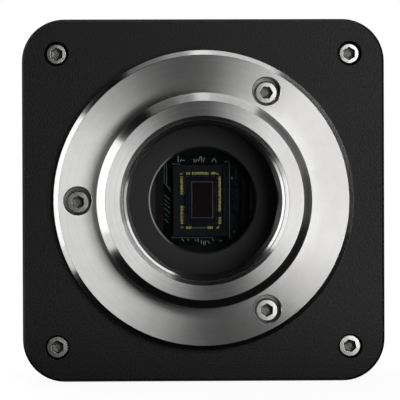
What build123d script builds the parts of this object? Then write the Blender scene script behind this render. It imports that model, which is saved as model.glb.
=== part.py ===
from build123d import *
import os

# A square camera that a microscope carries on a round lens mount.
#
# Every piece is drawn with the lens axis along Z, the lens side up and the top
# of the camera towards +Y. Depths are millimetres behind the face that a lens
# seats on. At the end each piece is turned so that the camera looks along -Y
# and rests on its underside.

# Body
BODY_SIDE = 60.0
BODY_CORNER = 7.0
EDGE_CHAMFER = 0.4
SEAM_CHAMFER = 0.25
FRONT_COVER_BAND = 9.0
FRONT_WALL = 5.0
SHELL_LENGTH = 24.0
SHELL_WALL = 3.0
REAR_COVER_BAND = 5.0
REAR_WALL = 3.0
LIP_LENGTH = 1.0
LIP_WALL = 1.2
COLUMN_RADIUS = 3.4
LEAST_CORNER = 0.5
GROOVE_COUNT = 5
GROOVE_PITCH = 3.4
GROOVE_WIDTH = 1.4
GROOVE_DEPTH = 1.2

# Lens mount, from its thread outwards
THREAD_RADIUS = 12.7
THREAD_LEAD = 0.49
LEAD_STEP = 0.25
MOUTH_CHAMFER = 0.64
SEAT_WIDTH = 2.37
BOSS_CHAMFER = 1.45
BOSS_HEIGHT = 5.0
FLANGE_SCREW_EDGE = 0.8
SPIGOT_EDGE = 0.55
SPIGOT_HEIGHT = 2.0
RIM_OVERHANG = 1.2
RIM_HEIGHT = 2.5
FLANGE_CHAMFER = 0.85

# Lens well, aperture and window
WELL_RELIEF = 0.7
WELL_DEPTH = 3.4
WELL_WALL = 1.6
FLOOR_WALL = 1.2
APERTURE_RADIUS = 8.85
APERTURE_CHAMFER = 0.25
WINDOW_LEDGE = 1.4
WINDOW_THICKNESS = 1.0

# Rubber seal between the window and the sensor board
SEAL_WIDTH = 23.0
SEAL_HEIGHT = 24.0
SEAL_CORNER = 2.0
SEAL_OPENING_WIDTH = 15.9
SEAL_OPENING_HEIGHT = 18.0
SEAL_LIP_WIDTH = 1.3
SEAL_LIP_THICKNESS = 1.7

# Sensor
FOCAL_DISTANCE = 17.526
GLASS_SHIFT = 0.524
SENSOR_PLACE = (-0.25, -0.1)
DIE_WIDTH = 5.7
DIE_HEIGHT = 8.5
DIE_THICKNESS = 0.35
DIE_ROOM = 0.1
PACKAGE_WIDTH = 9.3
PACKAGE_HEIGHT = 12.0
PACKAGE_BASE = 0.9
PACKAGE_WALL = 0.85
PACKAGE_RISE = 0.65
PACKAGE_CHAMFER = 0.2
FINGER_WIDTH = 0.14
FINGER_LENGTH = 0.42
FINGER_THICKNESS = 0.04
FINGER_PITCH = 0.24
FINGER_EDGE = 0.05
FINGER_RUNS_LEFT = ((1.1, 4.0), (-4.0, -0.9))
FINGER_RUNS_RIGHT = ((-1.85, 4.0), (-4.0, -2.85))
FINGER_RUNS_TOP = ((-2.5, -1.8), (-1.45, 1.3), (1.8, 2.5))
FINGER_RUNS_BOTTOM = ((-2.5, -1.6), (1.15, 2.0))
SENSOR_GLASS_THICKNESS = 0.5
SENSOR_GLASS_EDGE = 0.2

# Boards
BOARD_SIDE = 41.0
BOARD_CORNER = 1.5
BOARD_THICKNESS = 1.6
BOARD_SPACING = 5.6
POST_PLACE = 17.5
POST_RADIUS = 2.75
STANDOFF_FLATS = 4.0
STANDOFF_STUD = 5.2

# Connector between the boards
PLUG_LENGTH = 14.0
PLUG_WIDTH = 4.2
PLUG_RISE = 3.2
CONNECTOR_OVERLAP = 2.0
CONNECTOR_WALL = 0.6
CONNECTOR_FLOOR = 0.3
CONNECTOR_PLACE = (0.0, -16.4)

# Components on the boards: width, height and rise, then the place of the centre
PROCESSOR_SIZE = (13.0, 13.0, 1.4)
PROCESSOR_PLACE = (0.0, 9.6)
MEMORY_SIZE = (8.0, 11.0, 1.0)
MEMORY_PLACE = (0.0, 5.0)
CRYSTAL_SIZE = (5.0, 3.2, 1.1)
CRYSTAL_PLACE = (12.0, 3.0)
INDUCTOR_SIZE = (6.0, 6.0, 2.8)
INDUCTOR_PLACE = (-12.5, -4.0)
CAPACITOR_SIZE = (1.6, 0.8, 0.8)
CAPACITOR_PITCH = 1.8
CAPACITOR_COUNT = 6
CAPACITOR_COLUMN_MAIN = 9.4
CAPACITOR_COLUMN_SENSOR = 8.6
CHIP_STEP = 0.4

# Data socket, upright on the main board
SOCKET_WIDTH = 12.0
SOCKET_HEIGHT = 10.9
SOCKET_SHEET = 0.4
SOCKET_CORNER = 0.9
SOCKET_RECESS = 0.3
SOCKET_PLACE = (0.0, -8.0)
SOCKET_LEG_WIDTH = 2.0
SOCKET_LEG_LENGTH = 2.0
MOUTH_WIDTH = 8.45
MOUTH_HEIGHT = 7.78
MOUTH_BEVEL = 1.6
MOUTH_DEPTH = 9.5
MOUTH_RECESS = 0.3
TONGUE_WIDTH = 5.6
TONGUE_HEIGHT = 3.2
TONGUE_RECESS = 0.7
CONTACT_WIDTH = 1.0
CONTACT_THICKNESS = 0.3
CONTACT_SPACING = 2.5
CONTACT_PROUD = 0.1
CONTACT_TIP = 1.2
CONTACT_TAIL = 1.8

# Status lamp and the clear rod that carries its light through the back
LED_SIZE = (1.6, 0.8, 0.6)
LED_PLACE = (12.0, -8.0)
PIPE_RADIUS = 1.25
PIPE_COLLAR_RADIUS = 2.0
PIPE_COLLAR_LENGTH = 1.0
PIPE_GAP = 0.2
PIPE_RECESS = 0.1

# Socket screws
SCREW_RADIUS = 1.0
SCREW_HEAD_RADIUS = 1.9
SCREW_HEAD_HEIGHT = 2.0
SCREW_HEAD_CHAMFER = 0.2
KEY_FLATS = 1.5
KEY_DEPTH = 1.0
KEY_CHAMFER = 0.18
COVER_SCREW_INSET = 5.7
COVER_COUNTERBORE_RADIUS = 2.05
FRONT_SCREW_LENGTH = 12.0
FRONT_SCREW_SUNK = 1.2
REAR_SCREW_LENGTH = 8.0
REAR_SCREW_SUNK = 0.3
FLANGE_SCREW_ANGLES = (60.0, 180.0, 300.0)
FLANGE_COUNTERBORE_RADIUS = 2.3
FLANGE_SCREW_LENGTH = 4.0
FLANGE_SCREW_SUNK = 1.15
FLANGE_SCREW_DROP = 0.22
BOARD_SCREW_LENGTH = 5.0
KEY_TURNS = (30.0, 30.0, 34.0, 42.0)
FLANGE_KEY_TURNS = (0.0, 30.0, 27.0)

# Clearances
THREAD_GAP = 0.05
HOLE_GAP = 0.15
FLANGE_HOLE_GAP = 0.3
SPIGOT_GAP = 0.1
SEAT_GAP = 0.1
LIP_GAP = 0.1
WINDOW_GAP = 0.05
CONNECTOR_GAP = 0.1
SOCKET_GAP = 0.25
CONTACT_GAP = 0.05
PIPE_FIT_GAP = 0.05
TIP_ROOM = 1.0
CUT_OVER = 1.0

# Depths behind the lens seat, each from the sizes above
FLANGE_FACE = BOSS_HEIGHT
BODY_FRONT = FLANGE_FACE + RIM_HEIGHT
SPIGOT_BACK = BODY_FRONT + SPIGOT_HEIGHT
RECESS_BACK = SPIGOT_BACK + SEAT_GAP
WELL_FLOOR = RECESS_BACK + WELL_DEPTH
WINDOW_FRONT = WELL_FLOOR + FLOOR_WALL
WINDOW_BACK = WINDOW_FRONT + WINDOW_THICKNESS
FRONT_WALL_BACK = BODY_FRONT + FRONT_WALL
SHELL_FRONT = BODY_FRONT + FRONT_COVER_BAND
SHELL_BACK = SHELL_FRONT + SHELL_LENGTH
BODY_BACK = SHELL_BACK + REAR_COVER_BAND
REAR_WALL_FRONT = BODY_BACK - REAR_WALL
SENSOR_PLANE = FOCAL_DISTANCE + GLASS_SHIFT
DIE_BACK = SENSOR_PLANE + DIE_THICKNESS
SENSOR_BOARD_FRONT = DIE_BACK + PACKAGE_BASE
SENSOR_BOARD_BACK = SENSOR_BOARD_FRONT + BOARD_THICKNESS
MAIN_BOARD_FRONT = SENSOR_BOARD_BACK + BOARD_SPACING
MAIN_BOARD_BACK = MAIN_BOARD_FRONT + BOARD_THICKNESS
PACKAGE_FRONT = SENSOR_PLANE - PACKAGE_RISE
SENSOR_GLASS_FRONT = PACKAGE_FRONT - SENSOR_GLASS_THICKNESS
SOCKET_MOUTH = BODY_BACK - SOCKET_RECESS
FRONT_SCREW_SEAT = BODY_FRONT + FRONT_SCREW_SUNK + SCREW_HEAD_HEIGHT
REAR_SCREW_SEAT = BODY_BACK - REAR_SCREW_SUNK - SCREW_HEAD_HEIGHT
FLANGE_SCREW_SEAT = FLANGE_FACE + FLANGE_SCREW_SUNK + SCREW_HEAD_HEIGHT

# Radii of the lens mount and of what it sits in, each from the one inside it
LEAD_RADIUS = THREAD_RADIUS + THREAD_LEAD
MOUTH_RADIUS = LEAD_RADIUS + MOUTH_CHAMFER
SEAT_RADIUS = MOUTH_RADIUS + SEAT_WIDTH
BOSS_RADIUS = SEAT_RADIUS + BOSS_CHAMFER
FLANGE_SCREW_CIRCLE = BOSS_RADIUS + FLANGE_SCREW_EDGE + FLANGE_COUNTERBORE_RADIUS
SPIGOT_RADIUS = FLANGE_SCREW_CIRCLE + FLANGE_COUNTERBORE_RADIUS + SPIGOT_EDGE
FLANGE_RADIUS = SPIGOT_RADIUS + RIM_OVERHANG
WELL_RADIUS = THREAD_RADIUS + WELL_RELIEF
WINDOW_BOSS_RADIUS = WELL_RADIUS + WELL_WALL
WINDOW_RADIUS = APERTURE_RADIUS + WINDOW_LEDGE

# Widths that follow from the sizes above
SHELL_INSIDE = BODY_SIDE - 2 * SHELL_WALL
LIP_OUTSIDE = SHELL_INSIDE - 2 * LIP_GAP
COVER_INSIDE = LIP_OUTSIDE - 2 * LIP_WALL
TAPPED_RADIUS = SCREW_RADIUS + THREAD_GAP
CLEAR_RADIUS = SCREW_RADIUS + HOLE_GAP
SCREW_PLACE = BODY_SIDE / 2 - COVER_SCREW_INSET
QUADRANTS = ((1, 1), (-1, 1), (-1, -1), (1, -1))
COVER_SCREWS = [(x * SCREW_PLACE, y * SCREW_PLACE) for x, y in QUADRANTS]
POSTS = [(x * POST_PLACE, y * POST_PLACE) for x, y in QUADRANTS]
FLANGE_HOLES = [
    tuple(Vector(FLANGE_SCREW_CIRCLE, 0).rotate(Axis.Z, angle))[:2]
    for angle in FLANGE_SCREW_ANGLES
]
# The screws sit at the lower side of their clearance holes
FLANGE_SCREWS = [(x, y - FLANGE_SCREW_DROP) for x, y in FLANGE_HOLES]

# The lens side turned to -Y and the top of the camera to +Z
STANDING = Plane(origin=(0, 0, 0), x_dir=(1, 0, 0), z_dir=(0, -1, 0))


def between(sketch, front, back):
    """The sketch as a block from one depth to a deeper one."""
    return Pos(0, 0, -back) * extrude(sketch, amount=back - front)


def turned(*outline):
    """The solid that a closed outline of (radius, depth) points sweeps round the lens axis."""
    points = [(radius, -depth) for radius, depth in outline]
    profile = Plane.XZ * make_face(Polyline(*points, close=True))
    return revolve(profile, Axis.Z)


def at_places(shape, places):
    """One copy of the shape at each place."""
    return [Pos(x, y, 0) * shape for x, y in places]


def group(shapes):
    """Separate solids kept together as one node."""
    return Compound([solid for shape in shapes for solid in shape.solids()])


def rounded_square(side):
    """The body's outline at another size, its corners about the same centres."""
    corner = max(BODY_CORNER - (BODY_SIDE - side) / 2, LEAST_CORNER)
    return RectangleRounded(side, side, corner)


def corner_columns(grow):
    """Outlines of the four columns that the cover screws run in, rounded towards the inside."""
    radius = COLUMN_RADIUS + grow
    side = 2 * (COVER_SCREW_INSET + radius)
    half = BODY_SIDE / 2
    return [Pos(x * half, y * half) * RectangleRounded(side, side, radius) for x, y in QUADRANTS]


def hollow(side):
    """The outline of a room inside the body, with the corner columns left standing."""
    return rounded_square(side) - corner_columns(0)


def body_block(front, back, front_chamfer, back_chamfer):
    """A slice of the body with its outer edges broken."""
    block = between(rounded_square(BODY_SIDE), front, back)
    block = chamfer(block.faces().sort_by(Axis.Z)[-1].edges(), front_chamfer)
    return chamfer(block.faces().sort_by(Axis.Z)[0].edges(), back_chamfer)


def locating_lip(front, back):
    """A thin wall that enters the shell and stops short of its columns."""
    outline = rounded_square(LIP_OUTSIDE) - rounded_square(COVER_INSIDE)
    return between(outline - corner_columns(LIP_GAP), front, back)


def raised(sketch, foot, rise):
    """The sketch as a block that rises from a foot depth, towards the back or, if negative, the lens."""
    return between(sketch, min(foot, foot + rise), max(foot, foot + rise))


def stepped_hole(places, radius, head_radius, mouth, seat, end):
    """Counterbores from the mouth to the seat, with clearance holes on to the end depth."""
    bore = raised(Circle(radius), mouth, end - mouth)
    counterbore = raised(Circle(head_radius), mouth, seat - mouth)
    return at_places(bore + counterbore, places)


def tapped_hole(places, front, back):
    """Holes that the screws are screwed into, at the thread's full size."""
    return at_places(between(Circle(TAPPED_RADIUS), front, back), places)


def lens_well():
    """What is cut away for the mount's spigot, the lens, the aperture and the window."""
    spigot = SPIGOT_RADIUS + SPIGOT_GAP
    window = WINDOW_RADIUS + WINDOW_GAP
    return turned(
        (0, BODY_FRONT - CUT_OVER),
        (spigot, BODY_FRONT - CUT_OVER),
        (spigot, RECESS_BACK),
        (WELL_RADIUS, RECESS_BACK),
        (WELL_RADIUS, WELL_FLOOR),
        (APERTURE_RADIUS + APERTURE_CHAMFER, WELL_FLOOR),
        (APERTURE_RADIUS, WELL_FLOOR + APERTURE_CHAMFER),
        (APERTURE_RADIUS, WINDOW_FRONT),
        (window, WINDOW_FRONT),
        (window, WINDOW_BACK + CUT_OVER),
        (0, WINDOW_BACK + CUT_OVER),
    )


def front_cover():
    """The front of the body: a milled block with the lens well, posts for the board and a lip."""
    cover = body_block(BODY_FRONT, SHELL_FRONT, EDGE_CHAMFER, SEAM_CHAMFER)
    cover -= between(hollow(COVER_INSIDE), FRONT_WALL_BACK, SHELL_FRONT)
    cover += locating_lip(SHELL_FRONT, SHELL_FRONT + LIP_LENGTH)
    cover += between(Circle(WINDOW_BOSS_RADIUS), FRONT_WALL_BACK, WINDOW_BACK)
    cover += at_places(between(Circle(POST_RADIUS), FRONT_WALL_BACK, SENSOR_BOARD_FRONT), POSTS)
    cover -= lens_well()
    cover -= tapped_hole(FLANGE_SCREWS, RECESS_BACK, FRONT_WALL_BACK)
    stud_tip = SENSOR_BOARD_BACK - STANDOFF_STUD
    cover -= tapped_hole(POSTS, stud_tip - TIP_ROOM, SENSOR_BOARD_FRONT)
    head = COVER_COUNTERBORE_RADIUS
    end = SHELL_FRONT + LIP_LENGTH
    return cover - stepped_hole(COVER_SCREWS, CLEAR_RADIUS, head, BODY_FRONT, FRONT_SCREW_SEAT, end)


def body_shell():
    """The middle of the body: a tube with four tapped columns and grooves that help it to cool."""
    shell = body_block(SHELL_FRONT, SHELL_BACK, SEAM_CHAMFER, SEAM_CHAMFER)
    shell -= between(hollow(SHELL_INSIDE), SHELL_FRONT, SHELL_BACK)
    middle = (SHELL_FRONT + SHELL_BACK) / 2
    ring = rounded_square(BODY_SIDE + 2 * CUT_OVER) - rounded_square(BODY_SIDE - 2 * GROOVE_DEPTH)
    for number in range(GROOVE_COUNT):
        centre = middle + (number - (GROOVE_COUNT - 1) / 2) * GROOVE_PITCH
        shell -= between(ring, centre - GROOVE_WIDTH / 2, centre + GROOVE_WIDTH / 2)
    return shell - tapped_hole(COVER_SCREWS, SHELL_FRONT, SHELL_BACK)


def rear_cover():
    """The back plate, with a lip, the cut-out for the data socket and the hole for the lamp."""
    cover = body_block(SHELL_BACK, BODY_BACK, SEAM_CHAMFER, EDGE_CHAMFER)
    cover -= between(hollow(COVER_INSIDE), SHELL_BACK, REAR_WALL_FRONT)
    cover += locating_lip(SHELL_BACK - LIP_LENGTH, SHELL_BACK)
    cover -= between(socket_outline(SOCKET_GAP), REAR_WALL_FRONT, BODY_BACK)
    lamp_hole = Pos(*LED_PLACE) * Circle(PIPE_RADIUS + PIPE_FIT_GAP)
    cover -= between(lamp_hole, REAR_WALL_FRONT, BODY_BACK)
    head = COVER_COUNTERBORE_RADIUS
    end = SHELL_BACK - LIP_LENGTH
    return cover - stepped_hole(COVER_SCREWS, CLEAR_RADIUS, head, BODY_BACK, REAR_SCREW_SEAT, end)


def mount_flange():
    """The turned ring that a lens screws into: a boss with the seat, a flange and a spigot."""
    lead_depth = MOUTH_CHAMFER + LEAD_STEP
    ring = turned(
        (MOUTH_RADIUS, 0),
        (SEAT_RADIUS, 0),
        (BOSS_RADIUS, BOSS_CHAMFER),
        (BOSS_RADIUS, FLANGE_FACE),
        (FLANGE_RADIUS - FLANGE_CHAMFER, FLANGE_FACE),
        (FLANGE_RADIUS, FLANGE_FACE + FLANGE_CHAMFER),
        (FLANGE_RADIUS, BODY_FRONT),
        (SPIGOT_RADIUS, BODY_FRONT),
        (SPIGOT_RADIUS, SPIGOT_BACK),
        (THREAD_RADIUS, SPIGOT_BACK),
        (THREAD_RADIUS, lead_depth + THREAD_LEAD),
        (LEAD_RADIUS, lead_depth),
        (LEAD_RADIUS, MOUTH_CHAMFER),
    )
    hole = SCREW_RADIUS + FLANGE_HOLE_GAP
    head = FLANGE_COUNTERBORE_RADIUS
    return ring - stepped_hole(FLANGE_HOLES, hole, head, FLANGE_FACE, FLANGE_SCREW_SEAT, SPIGOT_BACK)


def socket_screw(length, turn):
    """A cap screw with the underside of its head at depth zero and its shank behind it."""
    radius = SCREW_HEAD_RADIUS
    screw = turned(
        (0, -SCREW_HEAD_HEIGHT),
        (radius - SCREW_HEAD_CHAMFER, -SCREW_HEAD_HEIGHT),
        (radius, SCREW_HEAD_CHAMFER - SCREW_HEAD_HEIGHT),
        (radius, 0),
        (SCREW_RADIUS, 0),
        (SCREW_RADIUS, length),
        (0, length),
    )
    key = RegularPolygon(KEY_FLATS / 2, 6, major_radius=False, rotation=turn)
    screw -= between(key, -SCREW_HEAD_HEIGHT, KEY_DEPTH - SCREW_HEAD_HEIGHT)
    rim = KEY_FLATS / 2 + KEY_CHAMFER
    return screw - turned(
        (0, -SCREW_HEAD_HEIGHT),
        (rim, -SCREW_HEAD_HEIGHT),
        (rim - KEY_CHAMFER, KEY_CHAMFER - SCREW_HEAD_HEIGHT),
        (0, KEY_CHAMFER - SCREW_HEAD_HEIGHT),
    )


def screws_facing_front(places, length, seat, turns):
    """Screws with their heads towards the lens side."""
    return group(
        Pos(x, y, -seat) * socket_screw(length, turn) for (x, y), turn in zip(places, turns)
    )


def screws_facing_back(places, length, seat, turns):
    """Screws with their heads towards the back."""
    return group(
        Pos(x, y, -seat) * Rot(X=180) * socket_screw(length, turn)
        for (x, y), turn in zip(places, turns)
    )


def window_glass():
    """The round filter glass that closes the aperture."""
    return between(Circle(WINDOW_RADIUS), WINDOW_FRONT, WINDOW_BACK)


def dust_seal():
    """The rubber frame squeezed between the window and the sensor board, with a lip on the board."""
    outline = RectangleRounded(SEAL_WIDTH, SEAL_HEIGHT, SEAL_CORNER)
    opening = RectangleRounded(SEAL_OPENING_WIDTH, SEAL_OPENING_HEIGHT, LEAST_CORNER)
    inside_width = SEAL_OPENING_WIDTH - 2 * SEAL_LIP_WIDTH
    inside_height = SEAL_OPENING_HEIGHT - 2 * SEAL_LIP_WIDTH
    inside = RectangleRounded(inside_width, inside_height, LEAST_CORNER)
    lip_front = SENSOR_BOARD_FRONT - SEAL_LIP_THICKNESS
    lip = between(outline - inside, lip_front, SENSOR_BOARD_FRONT)
    return between(outline - opening, WINDOW_BACK, lip_front) + lip


def sensor_package():
    """The sensor's carrier: a floor for the die, a ledge round it and a wall under the glass."""
    body = between(Rectangle(PACKAGE_WIDTH, PACKAGE_HEIGHT), PACKAGE_FRONT, SENSOR_BOARD_FRONT)
    upright = body.edges().filter_by(Axis.Z)
    body = chamfer(upright, PACKAGE_CHAMFER)
    ledge = Rectangle(PACKAGE_WIDTH - 2 * PACKAGE_WALL, PACKAGE_HEIGHT - 2 * PACKAGE_WALL)
    body -= between(ledge, PACKAGE_FRONT, SENSOR_PLANE)
    pocket = Rectangle(DIE_WIDTH + 2 * DIE_ROOM, DIE_HEIGHT + 2 * DIE_ROOM)
    body -= between(pocket, SENSOR_PLANE, DIE_BACK)
    return Pos(*SENSOR_PLACE, 0) * body


def sensor_die():
    """The silicon sensor."""
    return Pos(*SENSOR_PLACE, 0) * between(Rectangle(DIE_WIDTH, DIE_HEIGHT), SENSOR_PLANE, DIE_BACK)


def finger_places(runs):
    """Positions along a side, evenly spaced within each run."""
    places = []
    for start, end in runs:
        count = int((end - start) / FINGER_PITCH) + 1
        first = (start + end) / 2 - (count - 1) * FINGER_PITCH / 2
        places += [first + number * FINGER_PITCH for number in range(count)]
    return places


def bond_fingers():
    """The gold strips on the ledge round the die, where its wires land."""
    upright = raised(Rectangle(FINGER_WIDTH, FINGER_LENGTH), SENSOR_PLANE, -FINGER_THICKNESS)
    level = raised(Rectangle(FINGER_LENGTH, FINGER_WIDTH), SENSOR_PLANE, -FINGER_THICKNESS)
    from_pocket = DIE_ROOM + FINGER_EDGE + FINGER_LENGTH / 2
    across = DIE_WIDTH / 2 + from_pocket
    up = DIE_HEIGHT / 2 + from_pocket
    sides = [(-across, y) for y in finger_places(FINGER_RUNS_LEFT)]
    sides += [(across, y) for y in finger_places(FINGER_RUNS_RIGHT)]
    ends = [(x, up) for x in finger_places(FINGER_RUNS_TOP)]
    ends += [(x, -up) for x in finger_places(FINGER_RUNS_BOTTOM)]
    return Pos(*SENSOR_PLACE, 0) * group(at_places(level, sides) + at_places(upright, ends))


def sensor_cover_glass():
    """The glass lid on the carrier's wall."""
    width = PACKAGE_WIDTH - 2 * SENSOR_GLASS_EDGE
    height = PACKAGE_HEIGHT - 2 * SENSOR_GLASS_EDGE
    return Pos(*SENSOR_PLACE, 0) * between(Rectangle(width, height), SENSOR_GLASS_FRONT, PACKAGE_FRONT)


def board(front):
    """A square circuit board with a hole at each post."""
    outline = RectangleRounded(BOARD_SIDE, BOARD_SIDE, BOARD_CORNER)
    blank = between(outline, front, front + BOARD_THICKNESS)
    return blank - at_places(between(Circle(CLEAR_RADIUS), front, front + BOARD_THICKNESS), POSTS)


def sensor_board():
    """The board behind the seal, which carries the sensor."""
    return board(SENSOR_BOARD_FRONT)


def main_board():
    """The board that carries the processor and the data socket, with slots for the socket's feet."""
    tail = MAIN_BOARD_BACK - CONTACT_TAIL - CUT_OVER
    feet = between(socket_feet(CONTACT_GAP), tail, MAIN_BOARD_BACK)
    pins = between(contact_outlines(CONTACT_GAP), tail, MAIN_BOARD_BACK)
    return board(MAIN_BOARD_FRONT) - feet - pins


def board_standoffs():
    """Hexagon spacers that hold the sensor board to the posts and carry the main board."""
    hexagon = RegularPolygon(STANDOFF_FLATS / 2, 6, major_radius=False)
    spacer = between(hexagon, SENSOR_BOARD_BACK, MAIN_BOARD_FRONT)
    stud_tip = SENSOR_BOARD_BACK - STANDOFF_STUD
    spacer += between(Circle(SCREW_RADIUS), stud_tip, SENSOR_BOARD_BACK)
    screw_tip = MAIN_BOARD_BACK - BOARD_SCREW_LENGTH
    spacer -= between(Circle(TAPPED_RADIUS), screw_tip - TIP_ROOM, MAIN_BOARD_FRONT)
    return group(at_places(spacer, POSTS))


def board_connector_plug():
    """The connector on the back of the sensor board."""
    block = raised(Rectangle(PLUG_LENGTH, PLUG_WIDTH), SENSOR_BOARD_BACK, PLUG_RISE)
    slot = Rectangle(PLUG_LENGTH - 2 * CONNECTOR_WALL, PLUG_WIDTH - 4 * CONNECTOR_WALL)
    block -= raised(slot, SENSOR_BOARD_BACK + PLUG_RISE, -CONNECTOR_OVERLAP)
    return Pos(*CONNECTOR_PLACE, 0) * block


def board_connector_socket():
    """The connector on the front of the main board, which the plug enters."""
    mouth = SENSOR_BOARD_BACK + PLUG_RISE - CONNECTOR_OVERLAP
    cavity_back = SENSOR_BOARD_BACK + PLUG_RISE + CONNECTOR_FLOOR
    inside_length = PLUG_LENGTH + 2 * CONNECTOR_GAP
    inside_width = PLUG_WIDTH + 2 * CONNECTOR_GAP
    outside = Rectangle(inside_length + 2 * CONNECTOR_WALL, inside_width + 2 * CONNECTOR_WALL)
    block = between(outside, mouth, MAIN_BOARD_FRONT)
    cavity = between(Rectangle(inside_length, inside_width), mouth, cavity_back)
    return Pos(*CONNECTOR_PLACE, 0) * (block - cavity)


def chip(size, place, foot, direction):
    """A moulded chip on a board: direction 1 rises towards the back, -1 towards the lens."""
    width, height, rise = size
    base = raised(Rectangle(width, height), foot, direction * rise / 2)
    cap = Rectangle(width - 2 * CHIP_STEP, height - 2 * CHIP_STEP)
    return Pos(*place, 0) * (base + raised(cap, foot, direction * rise))


def capacitor_columns(column, foot, centre):
    """Two columns of small capacitors on the back of a board."""
    width, height, rise = CAPACITOR_SIZE
    body = raised(Rectangle(width, height), foot, rise)
    first = centre - (CAPACITOR_COUNT - 1) / 2 * CAPACITOR_PITCH
    rows = [first + number * CAPACITOR_PITCH for number in range(CAPACITOR_COUNT)]
    return group(at_places(body, [(x, y) for x in (-column, column) for y in rows]))


def socket_outline(grow):
    """The outside of the data socket's metal shell, at its place and a little larger or smaller."""
    corner = max(SOCKET_CORNER + grow, LEAST_CORNER)
    outline = RectangleRounded(SOCKET_WIDTH + 2 * grow, SOCKET_HEIGHT + 2 * grow, corner)
    return Pos(*SOCKET_PLACE) * outline


def socket_feet(grow):
    """Outlines of the shell's two feet, one on each side."""
    foot = Rectangle(SOCKET_SHEET + 2 * grow, SOCKET_LEG_WIDTH + 2 * grow)
    x, y = SOCKET_PLACE
    offset = (SOCKET_WIDTH - SOCKET_SHEET) / 2
    return Pos(x - offset, y) * foot + Pos(x + offset, y) * foot


def contact_outlines(grow):
    """Outlines of the four contacts, two on each face of the tongue."""
    strip = Rectangle(CONTACT_WIDTH + 2 * grow, CONTACT_THICKNESS + 2 * grow)
    x, y = SOCKET_PLACE
    across = CONTACT_SPACING / 2
    up = TONGUE_HEIGHT / 2 - CONTACT_THICKNESS / 2 + CONTACT_PROUD
    strips = [Pos(x + i * across, y + j * up) * strip for i, j in QUADRANTS]
    return strips[0] + strips[1] + strips[2] + strips[3]


def mouth_outline():
    """The socket's opening, with its two upper corners cut off."""
    outline = Rectangle(MOUTH_WIDTH, MOUTH_HEIGHT)
    upper = outline.vertices().sort_by(Axis.Y)[-2:]
    return Pos(*SOCKET_PLACE) * chamfer(upper, MOUTH_BEVEL)


def usb_socket_shell():
    """The data socket's folded metal shell with its two feet."""
    wall = socket_outline(0) - socket_outline(-SOCKET_SHEET)
    shell = between(wall, MAIN_BOARD_BACK, SOCKET_MOUTH)
    return shell + raised(socket_feet(0), MAIN_BOARD_BACK, -SOCKET_LEG_LENGTH)


def usb_socket_insulator():
    """The moulded body inside the shell, with the opening for a plug and the tongue in it."""
    face = SOCKET_MOUTH - MOUTH_RECESS
    floor = face - MOUTH_DEPTH
    body = between(socket_outline(-SOCKET_SHEET - CONTACT_GAP), MAIN_BOARD_BACK, face)
    body -= between(mouth_outline(), floor, face)
    tongue = Pos(*SOCKET_PLACE) * Rectangle(TONGUE_WIDTH, TONGUE_HEIGHT)
    body += between(tongue, floor, face - TONGUE_RECESS)
    return body - between(contact_outlines(CONTACT_GAP), MAIN_BOARD_BACK, face)


def usb_contacts():
    """The four flat contacts, from the tongue down through the board."""
    tail = MAIN_BOARD_BACK - CONTACT_TAIL
    tip = SOCKET_MOUTH - MOUTH_RECESS - TONGUE_RECESS - CONTACT_TIP
    return group([between(contact_outlines(0), tail, tip)])


def status_led():
    """The lamp on the main board."""
    width, height, rise = LED_SIZE
    return Pos(*LED_PLACE, 0) * raised(Rectangle(width, height), MAIN_BOARD_BACK, rise)


def light_pipe():
    """The clear rod from the lamp to the back, with a collar that stops it inside the cover."""
    front = MAIN_BOARD_BACK + LED_SIZE[2] + PIPE_GAP
    rod = between(Circle(PIPE_RADIUS), front, BODY_BACK - PIPE_RECESS)
    collar = raised(Circle(PIPE_COLLAR_RADIUS), REAR_WALL_FRONT, -PIPE_COLLAR_LENGTH)
    return Pos(*LED_PLACE, 0) * (rod + collar)


def pieces():
    """Every piece by its name, still with the lens axis along Z."""
    return {
        "front_cover": front_cover(),
        "body_shell": body_shell(),
        "rear_cover": rear_cover(),
        "front_cover_screws": screws_facing_front(
            COVER_SCREWS, FRONT_SCREW_LENGTH, FRONT_SCREW_SEAT, KEY_TURNS
        ),
        "rear_cover_screws": screws_facing_back(
            COVER_SCREWS, REAR_SCREW_LENGTH, REAR_SCREW_SEAT, KEY_TURNS
        ),
        "mount_flange": mount_flange(),
        "flange_screws": screws_facing_front(
            FLANGE_SCREWS, FLANGE_SCREW_LENGTH, FLANGE_SCREW_SEAT, FLANGE_KEY_TURNS
        ),
        "window_glass": window_glass(),
        "dust_seal": dust_seal(),
        "sensor_package": sensor_package(),
        "sensor_die": sensor_die(),
        "bond_fingers": bond_fingers(),
        "sensor_cover_glass": sensor_cover_glass(),
        "sensor_board": sensor_board(),
        "sensor_board_capacitors": capacitor_columns(CAPACITOR_COLUMN_SENSOR, SENSOR_BOARD_BACK, 0),
        "board_connector_plug": board_connector_plug(),
        "board_connector_socket": board_connector_socket(),
        "board_standoffs": board_standoffs(),
        "main_board": main_board(),
        "main_board_screws": screws_facing_back(
            POSTS, BOARD_SCREW_LENGTH, MAIN_BOARD_BACK, KEY_TURNS
        ),
        "image_processor": chip(PROCESSOR_SIZE, PROCESSOR_PLACE, MAIN_BOARD_BACK, 1),
        "memory_chip": chip(MEMORY_SIZE, MEMORY_PLACE, MAIN_BOARD_FRONT, -1),
        "crystal_oscillator": chip(CRYSTAL_SIZE, CRYSTAL_PLACE, MAIN_BOARD_BACK, 1),
        "power_inductor": chip(INDUCTOR_SIZE, INDUCTOR_PLACE, MAIN_BOARD_BACK, 1),
        "main_board_capacitors": capacitor_columns(
            CAPACITOR_COLUMN_MAIN, MAIN_BOARD_BACK, PROCESSOR_PLACE[1]
        ),
        "usb_socket_shell": usb_socket_shell(),
        "usb_socket_insulator": usb_socket_insulator(),
        "usb_contacts": usb_contacts(),
        "status_led": status_led(),
        "light_pipe": light_pipe(),
    }


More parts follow.
